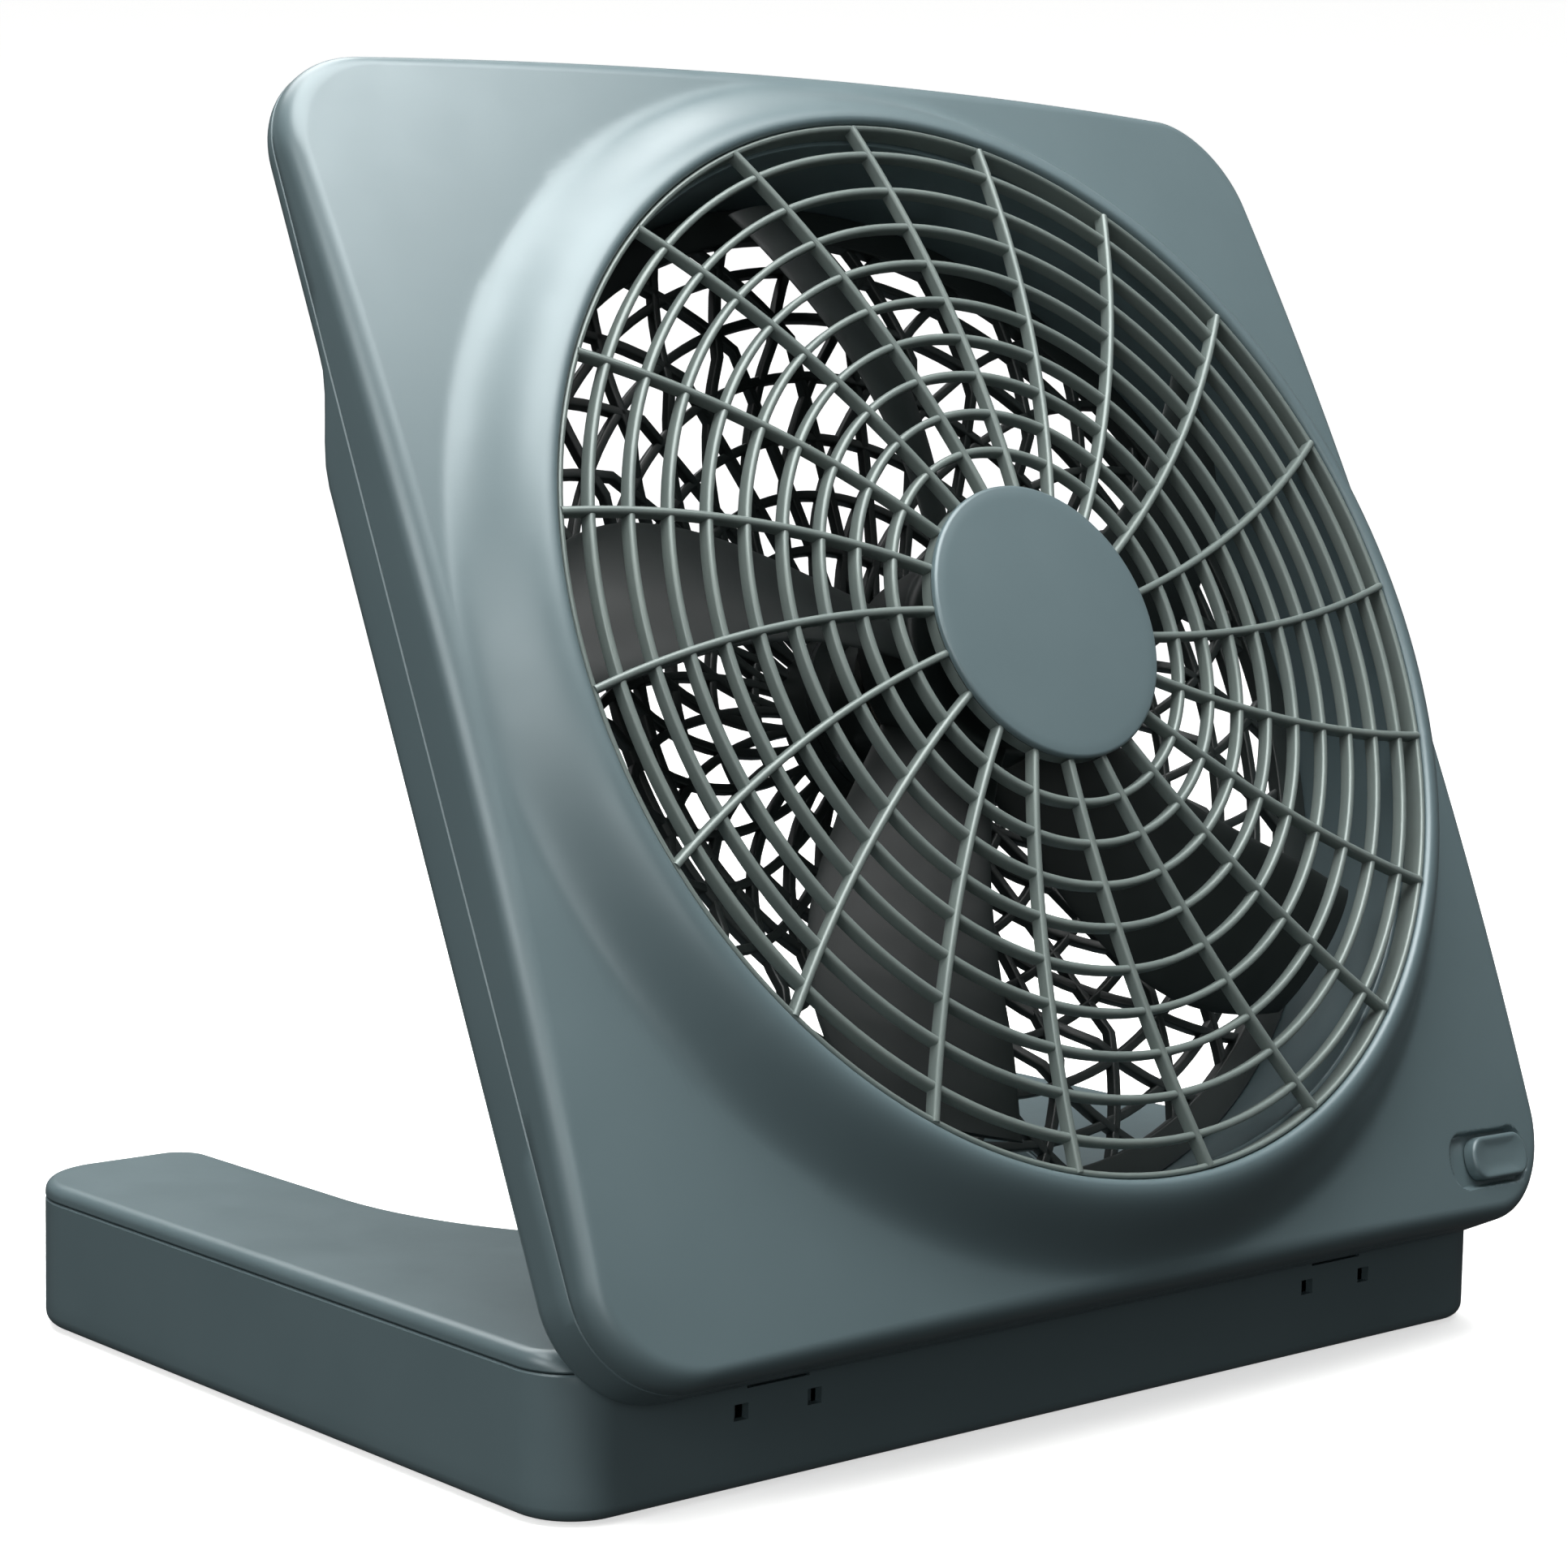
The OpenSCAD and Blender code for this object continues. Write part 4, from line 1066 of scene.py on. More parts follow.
@dataclass
class FrontGrille:
    """Front grille: a rim, rings on a shallow dome and swept spokes that stand a
    little proud of the rings."""

    head: HeadFrame
    face: FaceShape = field(default_factory=FaceShape)
    hub_r: float = 35.3
    hub_n: float = 34.6
    ring_count: int = 9
    spoke_count: int = 20
    spoke_bend_r: float = 300.0
    spoke_phase: float = 10.7
    rib: RibSection = RibSection(1.9, 3.6, 0.85)
    rim_out: float = 136.4
    rim_in: float = 134.9
    rim_back_n: float = 20.2
    ring_sunk: float = 0.45
    ring_sides: int = 180
    spoke_steps: int = 26
    spoke_bite: float = 1.0
    dome_foot: float = 0.6
    dome_head: float = 0.8
    rim_drop: float = 0.9
    seat_gap: float = 0.85
    seat_inset: float = 0.3
    seat_wall: float = 4.0
    seat_chamfer: float = 0.4
    seat_floor: float = 1.6
    seat_sides: int = 96

    def dome(self, radius: Array | float) -> Array:
        """Front of the dome: a paraboloid from the rim up to the disc.

        Args:
            radius: Distances from the middle.

        Returns:
            Height of the dome's front at each.
        """
        fall = 1 - (np.asarray(radius) / self.face.opening_r) ** 2
        whole = 1 - (self.hub_r / self.face.opening_r) ** 2
        rise = self.hub_n - self.face.rim_n - self.dome_head
        return self.face.rim_n - self.dome_foot + rise * fall / whole

    def rings(self) -> Surface:
        """The rings between the disc and the rim, evenly spaced.

        Returns:
            The surface, in the head frame.
        """
        pitch = (self.face.opening_r - self.hub_r) / (self.ring_count + 1)
        outline = self.rib.outline()
        made = []
        for radius in self.hub_r + pitch * np.arange(1, self.ring_count + 1):
            front = float(self.dome(radius)) - self.ring_sunk
            made.append(revolved(outline + [radius, front], self.ring_sides))
        return joined(made)

    def spokes(self) -> Surface:
        """The spokes, from under the disc to the rim.

        Returns:
            The surface, in the head frame.
        """
        path = BentPath(self.hub_r, self.rim_in + self.spoke_bite, self.spoke_bend_r)
        radius = np.linspace(path.r_in, path.r_out, self.spoke_steps)
        one = swept_bar(path, self.rib, self.dome(radius), self.spoke_steps)
        phase = math.radians(self.spoke_phase)
        turns = phase + np.arange(self.spoke_count) * 2 * math.pi / self.spoke_count
        return many_ring_surfaces(turned(one, turns), closed=False)

    def rim(self) -> Surface:
        """Rim that sits inside the bezel's opening.

        Returns:
            The surface, in the head frame.
        """
        front = self.face.rim_n - self.rim_drop
        return revolved(rounded_profile([
            (self.rim_in, self.rim_back_n, 0.4), (self.rim_out, self.rim_back_n, 0.4),
            (self.rim_out, front, 0.7), (self.rim_in, front, 0.9),
        ]), self.ring_sides)

    def seat(self) -> Surface:
        """Shallow cup behind the disc that the spokes run into.

        Returns:
            The surface, in the head frame.
        """
        top = float(self.dome(self.hub_r)) - self.seat_gap
        low = top - self.rib.depth
        floor = low + self.seat_floor
        out, edge = self.hub_r - self.seat_inset, self.seat_chamfer
        inner = out - self.seat_wall
        return revolved(np.array([
            [0.0, low], [out - edge, low], [out, low + edge], [out, top], [inner, top], [inner, floor],
            [0.0, floor],
        ]), self.seat_sides, poles=True)

    def build(self, finishes: Finishes) -> None:
        """Makes the grille as one moulding and dresses it.

        Args:
            finishes: Materials by slot name.
        """
        moulding = mesh_object("front_grille_moulding", self.head.put(
            joined([self.rim(), self.rings(), self.spokes(), self.seat()])))
        turn_outwards(moulding)
        finish_piece(moulding, Body.HEAD, finishes["grille_abs"], ["front_grille"])


@dataclass
class HubDisc:
    """Plain disc in the middle of the front grille, barely domed."""

    head: HeadFrame
    radius: float = 35.3
    front_n: float = 34.6
    low_n: float = 32.6
    dome: float = 0.6
    edge_round: float = 0.9
    back_chamfer: tuple[float, float] = (0.7, 0.4)
    sides: int = 144

    def profile(self) -> Array:
        """From the middle of the back, round the edge, to the middle of the front;
        the front falls with the square of the radius.

        Returns:
            Rows of radius and height.
        """
        turn = np.radians(np.linspace(0.0, 80.0, 7))
        flat = np.linspace(self.radius - self.edge_round, 0.0, 14)
        rise = self.dome * (1 - (flat / self.radius) ** 2)
        edge = np.stack([
            self.radius - self.edge_round * (1 - np.cos(turn)),
            self.front_n - self.edge_round * (1 - np.sin(turn)),
        ], -1)
        across, along = self.back_chamfer
        return np.vstack([
            [[0.0, self.low_n], [self.radius - across, self.low_n], [self.radius, self.low_n + along]],
            edge,
            np.stack([flat, self.front_n + rise], -1),
        ])

    def build(self, finishes: Finishes) -> None:
        """Makes the disc and dresses it.

        Args:
            finishes: Materials by slot name.
        """
        disc = mesh_object("hub_disc", self.head.put(revolved(self.profile(), self.sides, poles=True)))
        turn_outwards(disc)
        finish_piece(disc, Body.HEAD, finishes["slate_abs"], ["hub_cap"])


@dataclass
class RearGrille:
    """Rear grille: a rim, rings and two families of curved bars that lean opposite
    ways over a dome, and a cup in the middle for the motor. The cup's rear has a
    shallow round hollow."""

    head: HeadFrame
    body_depth: float = 19.3
    dome_r: float = 98.0
    dome_drop: float = 22.0
    collar_r: float = 25.0
    rim_out: float = 129.8
    rim_w: float = 5.0
    flange_r: float = 133.7
    bars_each_way: int = 30
    bar_bend_r: float = 95.0
    rib: RibSection = RibSection(2.4, 3.0, 0.6, 0.6)
    ring_radii: tuple[float, ...] = (34, 48, 62, 76, 90, 104, 117)
    collar_front_n: float = -30.0
    cup_r: float = 19.1
    cup_edge: float = 1.6
    cup_sides: int = 96
    hollow_r: float = 9.0
    hollow_slope: float = 0.6
    hollow_depth: float = 0.5
    hollow_land_r: float = 20.0
    bar_steps: int = 22
    bar_bite_in: float = 1.5
    bar_bite_out: float = 2.0
    dome_power: float = 2.4
    ring_sunk: float = 0.15
    ring_sides: int = 144
    rim_sides: int = 180
    flange_step: float = 2.6
    flange_t: float = 1.6

    def rear(self, radius: Array | float) -> Array:
        """Rear surface: level outside the dome's foot, then falling away as one
        less a power of the remaining way to the collar."""
        t = np.clip((self.dome_r - np.asarray(radius)) / (self.dome_r - self.collar_r), 0.0, 1.0)
        return -self.body_depth - self.dome_drop * (1 - (1 - t) ** self.dome_power)

    def bars(self) -> Surface:
        """Both families of bars, the second the mirror image of the first.

        Returns:
            The surface, in the head frame.
        """
        path = BentPath(
            self.collar_r - self.bar_bite_in, self.rim_out - self.bar_bite_out, self.bar_bend_r)
        radius = np.linspace(path.r_in, path.r_out, self.bar_steps)
        one = swept_bar(path, self.rib, self.rear(radius) + self.rib.depth, self.bar_steps)
        turns = np.arange(self.bars_each_way) * 2 * math.pi / self.bars_each_way
        family = many_ring_surfaces(turned(one, turns), closed=False)
        return mirrored(family)

    def rings(self) -> Surface:
        """Rings that tie the bars together.

        Returns:
            The surface, in the head frame.
        """
        outline = self.rib.outline()
        return joined([
            revolved(outline + [radius, float(self.rear(radius)) + self.rib.depth - self.ring_sunk],
                     self.ring_sides)
            for radius in self.ring_radii
        ])

    def rim(self) -> Surface:
        """Rim with the flange that lies against the inside of the rear shell.

        Returns:
            The surface, in the head frame.
        """
        rear, step = -self.body_depth, -self.body_depth + self.flange_step
        front, inner = step + self.flange_t, self.rim_out - self.rim_w
        return revolved(rounded_profile([
            (inner, rear, 0.5), (self.rim_out, rear, 0.5), (self.rim_out, step, 0.1),
            (self.flange_r, step, 0.2), (self.flange_r, front, 0.2), (inner, front, 0.5),
        ], 3), self.rim_sides)

    def cup(self) -> Surface:
        """Closed cup in the middle that the motor's housing sits in.

        Returns:
            The surface, in the head frame.
        """
        low, edge = -self.body_depth - self.dome_drop, self.cup_edge
        turn = np.radians(np.linspace(0.0, 90.0, 6))
        bend = np.stack([self.collar_r - edge * (1 - np.sin(turn)), low + edge * (1 - np.cos(turn))], -1)
        hollow = np.array([
            [0.0, low + self.hollow_depth], [self.hollow_r, low + self.hollow_depth],
            [self.hollow_r + self.hollow_slope, low], [self.hollow_land_r, low],
        ])
        inside = np.array([
            [self.collar_r, self.collar_front_n], [self.cup_r, self.collar_front_n],
            [self.cup_r, low + edge], [0.0, low + edge],
        ])
        return revolved(np.vstack([hollow, bend, inside]), self.cup_sides, poles=True)

    def build(self, finishes: Finishes) -> None:
        """Makes the grille as one moulding and dresses it.

        Args:
            finishes: Materials by slot name.
        """
        moulding = mesh_object("rear_grille_moulding", self.head.put(
            joined([self.rim(), self.rings(), self.bars(), self.cup()])))
        turn_outwards(moulding)
        # The near-black finish here is painted shade: it stands for the shadow the rear grille lies in behind the
        # blades
        finish_piece(moulding, Body.HEAD, finishes["dark_abs"], ["rear_grille"])


# ---------------------------------------------------------------- rear shell


@dataclass
class RearShell:
    """Rear shell of the head: thin along the top, deep low down and round the fan,
    with the duct round the blades and the two hinge lugs."""

    head: HeadFrame
    face: FaceShape = field(default_factory=FaceShape)
    depth: float = 19.3
    flange_depth: float = 10.3
    wall: float = 2.5
    seam_n: float = -5.2
    shoulder_low: float = 58.0
    shoulder_high: float = 86.0
    drum_r: float = 140.0
    drum_slope: float = 5.0
    opening_r: float = 130.0
    duct_r: float = 134.0
    duct_wall: float = 1.8
    duct_front_n: float = 20.0
    edge_round: float = 4.6
    hinge_below: float = 159.5 - 9.05
    hinge_behind: float = 28.85
    lug_x: float = 95.6
    lug_w: float = 18.0
    lug_r: float = 5.0
    pin_r: float = 2.05
    seam_chamfer: float = 0.3
    edge_gap: float = 0.5
    inner_lead: float = 1.2
    corner_gap: float = 1.5
    plate_steps: int = 18
    drum_steps: int = 22
    duct_bite: float = 0.6
    duct_sides: int = 180
    screw_places: tuple[tuple[float, float], ...] = ((142, 141), (148.5, -30), (110, -148), (70, 150))
    well_r: float = 3.6
    well_depth: float = 2.2
    well_over: float = 2.0
    bore_r: float = 1.7
    bore_depth: float = 4.0
    bore_gap: float = 0.05
    bore_sides: int = 20
    post_r: float = 4.6
    post_sides: int = 24
    post_bite: float = 0.1
    lug_edge: float = 0.6
    lug_bite: float = 1.0
    lug_steps: int = 17
    lug_face: float = 0.9

    def rear(self, radius: Array, angle: Array) -> Array:
        """Rear surface: deep below the shoulder, eased to the thin flange above it,
        and deep again inside the drum round the fan.

        Args:
            radius: Distances from the middle.
            angle: Directions in radians.

        Returns:
            Height of the rear surface at each.
        """
        w = radius * np.sin(angle)
        rise = smooth((w - self.shoulder_low) / (self.shoulder_high - self.shoulder_low))
        plate = mix(-self.depth, -self.flange_depth, rise)
        drum = smooth((self.drum_r + self.drum_slope / 2 - radius) / self.drum_slope)
        return mix(plate, -self.depth, drum)

    def skin(self) -> Surface:
        """The shell as one closed surface: each slice runs from the seam down the
        side wall, round the edge, in over the plate to the opening, and back.

        Returns:
            The surface, in the head frame.
        """
        angle = np.radians(square_directions(1.5, 0.4))
        a = angle[:, None]
        edge = self.face.edge_distance(angle)[:, None]
        bend = np.radians(np.arange(90.0, -1.0, -10.0))[None]
        r_bend = edge - self.edge_round * (1 - np.sin(bend))
        n_bend = self.rear(r_bend, a) + self.edge_round * (1 - np.cos(bend))
        drum_out = self.drum_r + self.drum_slope
        to_drum = np.linspace(0.0, 1.0, self.plate_steps)[None, :-1]
        to_opening = np.linspace(0.0, 1.0, self.drum_steps)[None]
        r_outer = np.concatenate([
            mix(edge - self.edge_round - self.edge_gap, drum_out, to_drum),
            mix(drum_out, self.opening_r, to_opening) + 0 * a,
        ], 1)
        n_outer = self.rear(r_outer, a)
        r_inner = r_outer[:, ::-1].copy()
        n_inner = self.rear(np.maximum(r_inner - self.inner_lead, self.opening_r), a) + self.wall
        side_r = edge - self.wall
        seam, chamfer = self.seam_n + 0 * edge, self.seam_chamfer
        n_side = self.rear(edge, a) + self.edge_round
        n_corner = self.rear(edge, a) + self.wall + self.corner_gap
        radius = np.concatenate([
            edge - chamfer, edge, edge, r_bend, r_outer, r_inner, side_r, side_r,
        ], 1)
        height = np.concatenate([
            seam, seam - chamfer, mix(self.seam_n, n_side, 0.5), n_bend, n_outer, n_inner, n_corner, seam,
        ], 1)
        return ring_surface(np.stack([radius * np.cos(a), radius * np.sin(a), height], -1), closed=True)

    def duct(self) -> Surface:
        """Short round duct that the blades turn in.

        Returns:
            The surface, in the head frame.
        """
        rear, out = -self.depth + self.wall - self.duct_bite, self.duct_r + self.duct_wall
        return revolved(rounded_profile([
            (self.duct_r, rear, 0.1), (out, rear, 0.1),
            (out, self.duct_front_n, 0.5), (self.duct_r, self.duct_front_n, 0.5),
        ], 3), self.duct_sides)

    def screw_spots(self) -> list[tuple[float, float, float]]:
        """Across, up and rear height at each shell screw, right and left in turn.

        Returns:
            One row a screw.
        """
        return [
            (side * u, w, -self.flange_depth if w > self.shoulder_high else -self.depth)
            for u, w in self.screw_places for side in (-1, 1)
        ]

    def wells(self) -> Surface:
        """Wells for the shell screws' heads and bores for their shanks, to be cut
        from the plate.

        Returns:
            Rods, none of which meets another.
        """
        made = []
        for u, w, rear in self.screw_spots():
            step = rear + self.well_depth
            made.append(rod((u, w, rear - self.well_over), (u, w, step), self.well_r))
            made.append(rod((u, w, step + self.bore_gap), (u, w, rear + self.bore_depth), self.bore_r,
                            self.bore_sides))
        return joined(made)

    def posts(self) -> Surface:
        """Bosses on the inside round the screws.

        Returns:
            The surface, in the head frame.
        """
        made = []
        for u, w, rear in self.screw_spots():
            low = rear + self.wall - self.post_bite
            profile = np.array([
                [self.bore_r, low], [self.post_r, low],
                [self.post_r, self.seam_n], [self.bore_r, self.seam_n],
            ])
            tube = revolved(profile, self.post_sides)
            made.append(Surface(tube.points + [u, w, 0.0], tube.faces))
        return joined(made)

    def lug(self, side: int) -> Surface:
        """One hinge lug: a bored round end on the hinge axis, and a block up to the shell.

        Args:
            side: -1 for the left lug, 1 for the right one.

        Returns:
            A ring of an outer and an inner outline, carried across the lug's width.
            The outer outline is a half circle behind the pin that runs on into a
            straight-sided block towards the shell.
        """
        reach = self.hinge_behind - self.depth + self.lug_bite
        turn = np.linspace(-math.pi / 2, math.pi / 2, self.lug_steps)
        back = np.stack([self.lug_r * np.sin(turn), -self.lug_r * np.cos(turn)], -1)
        block = np.array([[self.lug_r * share, reach] for share in (1.0, 0.5, 0.0, -0.5, -1.0)])
        outer = np.vstack([back, block])
        direction = outer / np.linalg.norm(outer, axis=1, keepdims=True)
        inner = direction * self.pin_r
        face = mix(inner, outer, self.lug_face)
        half, edge = self.lug_w / 2, self.lug_edge
        levels = [(-half, inner), (-half, face), (-half + edge, outer), (half - edge, outer), (half, face),
                  (half, inner)]
        rings = np.stack([
            np.column_stack([
                np.full(len(outline), side * self.lug_x + x),
                outline[:, 0] - self.hinge_below,
                outline[:, 1] - self.hinge_behind,
            ])
            for x, outline in levels
        ])
        return ring_surface(rings, closed=True)

    def build(self, finishes: Finishes) -> None:
        """Makes the shell, cuts the screw wells, joins duct, bosses and lugs, and dresses it.

        Args:
            finishes: Materials by slot name.
        """
        shell = mesh_object("rear_shell_moulding", self.head.put(self.skin()))
        turn_outwards(shell)
        combine(shell, self.head.put(self.wells()), "DIFFERENCE")
        extras = mesh_object("rear_shell_extras", self.head.put(
            joined([self.duct(), self.posts(), self.lug(-1), self.lug(1)])))
        turn_outwards(extras)
        join_into(shell, extras)
        finish_piece(shell, Body.HEAD, finishes["slate_abs"], ["rear_shell"], 40.0)


# ---------------------------------------------------------------- fan


@dataclass
class FanBlades:
    """Moulded blades and their hub."""

    head: HeadFrame
    count: int = 5
    tip_r: float = 125.0
    root_r: float = 26.0
    phase: float = -58.0
    thickness: float = 1.9
    middle_n: float = 4.0
    hub_r: float = 27.0
    hub_wall: float = 2.0
    hub_rear_n: float = -6.0
    hub_front_n: float = 14.0
    bore_r: float = 1.2
    span_steps: int = 36
    chord_steps: int = 18
    root_chord: float = 32.0
    chord_growth: float = 22.0
    growth_rate: float = 1.15
    chord_taper: float = 8.0
    root_pitch: float = 38.0
    pitch_fall: float = 17.0
    trim: float = 0.16
    trim_from: float = 0.72
    sweep: float = 16.0
    camber: float = 2.7
    tip_share: float = 0.15
    section_power: int = 6
    boss_r: float = 5.0
    boss_rear_n: float = 2.0
    seat_r: float = 8.0
    hub_round: float = 2.6
    hub_sides: int = 96

    def blade(self) -> Array:
        """Rings round one blade's section, from the root to the tip.

        Returns:
            Rings by points by three. The chord grows outwards, the pitch falls, the
            section is arched, its outer corners are trimmed round, and the whole
            blade sweeps forward with the square of the span.
        """
        t = np.linspace(0.0, 1.0, self.span_steps)
        t = np.concatenate([t, [1.0]])[:, None]
        radius = mix(self.root_r, self.tip_r, t)
        chord = (self.root_chord + self.chord_growth * smooth(t * self.growth_rate)
                 - self.chord_taper * t**3)
        pitch = np.radians(self.root_pitch - self.pitch_fall * t)
        beyond = np.maximum(0.0, t - self.trim_from) / (1 - self.trim_from)
        trim = 1 - self.trim * beyond**2
        around = full_turn(2 * self.chord_steps)[None]
        s = 0.5 * np.cos(around)
        full = np.sqrt(np.clip(1 - (2 * s) ** self.section_power, 0.0, 1.0)) * np.sign(np.sin(around))
        thin = np.ones_like(t)
        thin[-1] = self.tip_share
        along = s * chord * trim
        turn = np.radians(self.sweep * t**2) + along * np.cos(pitch) / radius
        height = (self.middle_n + along * np.sin(pitch) + self.camber * (1 - 4 * s * s)
                  + full * thin * self.thickness / 2)
        return np.stack([radius * np.cos(turn), radius * np.sin(turn), height], -1)

    def hub(self) -> Surface:
        """Hollow hub with a rounded front edge and a bored boss.

        Returns:
            The surface, in the head frame.
        """
        out, top, rear = self.hub_r, self.hub_front_n, self.hub_rear_n
        inner, under = out - self.hub_wall, top - self.hub_wall
        return revolved(rounded_profile([
            (self.bore_r, self.boss_rear_n, 0.1), (self.boss_r, self.boss_rear_n, 0.3),
            (self.boss_r, under, 0.4), (inner, under, 0.8), (inner, rear, 0.3), (out, rear, 0.3),
            (out, top, self.hub_round), (self.seat_r, top, 0.2), (self.bore_r, top, 0.1),
        ]), self.hub_sides)

    def build(self, finishes: Finishes) -> None:
        """Makes hub and blades and dresses them.

        Args:
            finishes: Materials by slot name.
        """
        turns = np.radians(self.phase) + np.arange(self.count) * 2 * math.pi / self.count
        blades = many_ring_surfaces(turned(self.blade(), turns), closed=False)
        moulding = mesh_object("fan_blade_moulding", self.head.put(joined([self.hub(), blades])))
        turn_outwards(moulding)
        finish_piece(moulding, Body.ROTOR, finishes["blade_pp"], ["fan_blades"], 45.0)


# ---------------------------------------------------------------- switch


@dataclass
class SwitchKnob:
    """Sliding knob: a rounded bar with a shallow dish for a fingertip."""

    head: HeadFrame
    switch: SwitchFrame = field(default_factory=SwitchFrame)
    length: float = 25.0
    width: float = 11.4
    corner: float = 5.2
    rest: float = 4.0
    top: float = 1.3
    low: float = -2.0
    edge: float = 0.9
    dish: float = 0.7
    stem_len: float = 5.6
    stem_w: float = 3.4
    stem_low: float = -7.5
    stem_bite: float = 0.2
    dish_rings: tuple[float, ...] = (0.92, 0.75, 0.5, 0.25, 0.02)
    dish_rate: float = 2.2

    def outline(self, inset: float) -> Array:
        """Rounded-rectangle outline drawn in by inset, as four arcs.

        Args:
            inset: How far it is drawn in.

        Returns:
            Rows of place along and across the knob.
        """
        radius = self.corner - inset
        half = np.array([self.length / 2 - self.corner, self.width / 2 - self.corner])
        quarter = np.linspace(0.0, math.pi / 2, 9)
        signs = np.array([[1, 1], [-1, 1], [-1, -1], [1, -1]])
        return np.vstack([
            half * sign + radius * unit_circle(quarter + k * math.pi / 2) for k, sign in enumerate(signs)
        ])

    def build(self, finishes: Finishes) -> None:
        """Makes the knob with its stem and dresses it: rings up the side and round
        the edge, then shrinking ones that dip to the middle of the dish.

        Args:
            finishes: Materials by slot name.
        """
        turn = np.radians(np.linspace(0.0, 90.0, 6))
        bend = [(self.edge * (1 - math.cos(t)), self.top - self.edge * (1 - math.sin(t))) for t in turn]
        levels = [(0.0, self.low), *bend]
        outlines = [(self.outline(inset), z) for inset, z in levels]
        last = outlines[-1][0]
        for share in self.dish_rings:
            fall = self.dish * float(smooth((1 - share) * self.dish_rate))
            outlines.append((last * share, self.top - fall))
        rings = [np.column_stack([flat, np.full(len(flat), z)]) for flat, z in outlines]
        cap = ring_surface(np.stack(rings), closed=False)
        half_l, half_w = self.stem_len / 2, self.stem_w / 2
        stem = box((-half_l, -half_w, self.stem_low), (half_l, half_w, self.low + self.stem_bite))
        whole = joined([cap, stem])
        moved = Surface(whole.points + [self.rest, 0.0, 0.0], whole.faces)
        knob = mesh_object("switch_knob_moulding", self.head.put(self.switch.put(moved)))
        turn_outwards(knob)
        finish_piece(knob, Body.SWITCH_KNOB, finishes["slate_abs"], ["switch_knob"], 50.0)


# ---------------------------------------------------------------- base


@dataclass(frozen=True)
class BasePlan:
    """The base seen from above: a square with round corners, open at the rear."""

    width: float = 316.5
    front: float = -9.05
    rear: float = 225.45
    front_r: float = 16.0
    rear_r: float = 22.0
    tip_r: float = 10.0
    recess_r: float = 104.5
    recess_y: float = 150.45
    corner_steps: int = 16
    round_rate: float = 1.15

    def right_half(self) -> tuple[Array, Array, Array]:
        """Half of the outline, from the middle of the front round to the recess's middle.

        Returns:
            Points, outward unit normals, and each point's share of the front's large
            top rounding: 1 along the front, easing to 0 round the front corner.
        """
        half = self.width / 2
        tip_x = self.recess_r + self.tip_r

        def line(
            start: tuple[float, float],
            end: tuple[float, float],
            normal: tuple[float, float],
            steps: int,
            share: float = 0.0,
        ) -> tuple[Array, Array, Array]:
            """A straight stretch without its last point.

            Args:
                start: First point.
                end: Point after the last.
                normal: Outward way.
                steps: Points.
                share: The front rounding's share.

            Returns:
                Points, normals and shares.
            """
            t = np.linspace(0.0, 1.0, steps, endpoint=False)[:, None]
            return mix(np.array(start), np.array(end), t), np.tile(normal, (steps, 1)), np.full(steps, share)

        def arc(
            centre: tuple[float, float],
            radius: float,
            start: float,
            end: float,
            steps: int,
            outward: float = 1.0,
        ) -> tuple[Array, Array, Array]:
            """A round stretch without its last point.

            Args:
                centre: Middle of the arc.
                radius: Its radius.
                start: First direction in degrees.
                end: Direction after the last.
                steps: Points.
                outward: 1, or -1 where the base lies outside it.

            Returns:
                Points, normals and shares.
            """
            t = np.linspace(math.radians(start), math.radians(end), steps, endpoint=False)
            way = unit_circle(t)
            return np.array(centre) + radius * way, way * outward, np.zeros(steps)

        front_arc = arc((half - self.front_r, self.front + self.front_r), self.front_r, -90, 0,
                        self.corner_steps)
        share = 1.0 - smooth(np.linspace(0.0, 1.0, self.corner_steps, endpoint=False) * self.round_rate)
        pieces = [
            line((0.0, self.front), (half - self.front_r, self.front), (0.0, -1.0), 24, 1.0),
            (front_arc[0], front_arc[1], share),
            line((half, self.front + self.front_r), (half, self.rear - self.rear_r), (1.0, 0.0), 24),
            arc((half - self.rear_r, self.rear - self.rear_r), self.rear_r, 0, 90, 18),
            line((half - self.rear_r, self.rear), (tip_x, self.rear), (0.0, 1.0), 4),
            arc((tip_x, self.rear - self.tip_r), self.tip_r, 90, 180, 12),
            line((self.recess_r, self.rear - self.tip_r), (self.recess_r, self.recess_y), (-1.0, 0.0), 8),
            arc((0.0, self.recess_y), self.recess_r, 0, -90, 48, -1.0),
        ]
        return tuple(np.concatenate([p[k] for p in pieces]) for k in range(3))

    def outline(self) -> tuple[Array, Array, Array]:
        """The whole outline, counter-clockwise from above: points, normals, share.

        Returns:
            The right half and its mirror image.
        """
        points, normals, share = self.right_half()
        middle = np.array([[0.0, self.recess_y - self.recess_r]])
        flip = np.array([-1.0, 1.0])
        left_points, left_normals = points[:0:-1] * flip, normals[:0:-1] * flip
        return (np.vstack([points, middle, left_points]), np.vstack([normals, [[0.0, 1.0]], left_normals]),
                np.concatenate([share, [0.0], share[:0:-1]]))


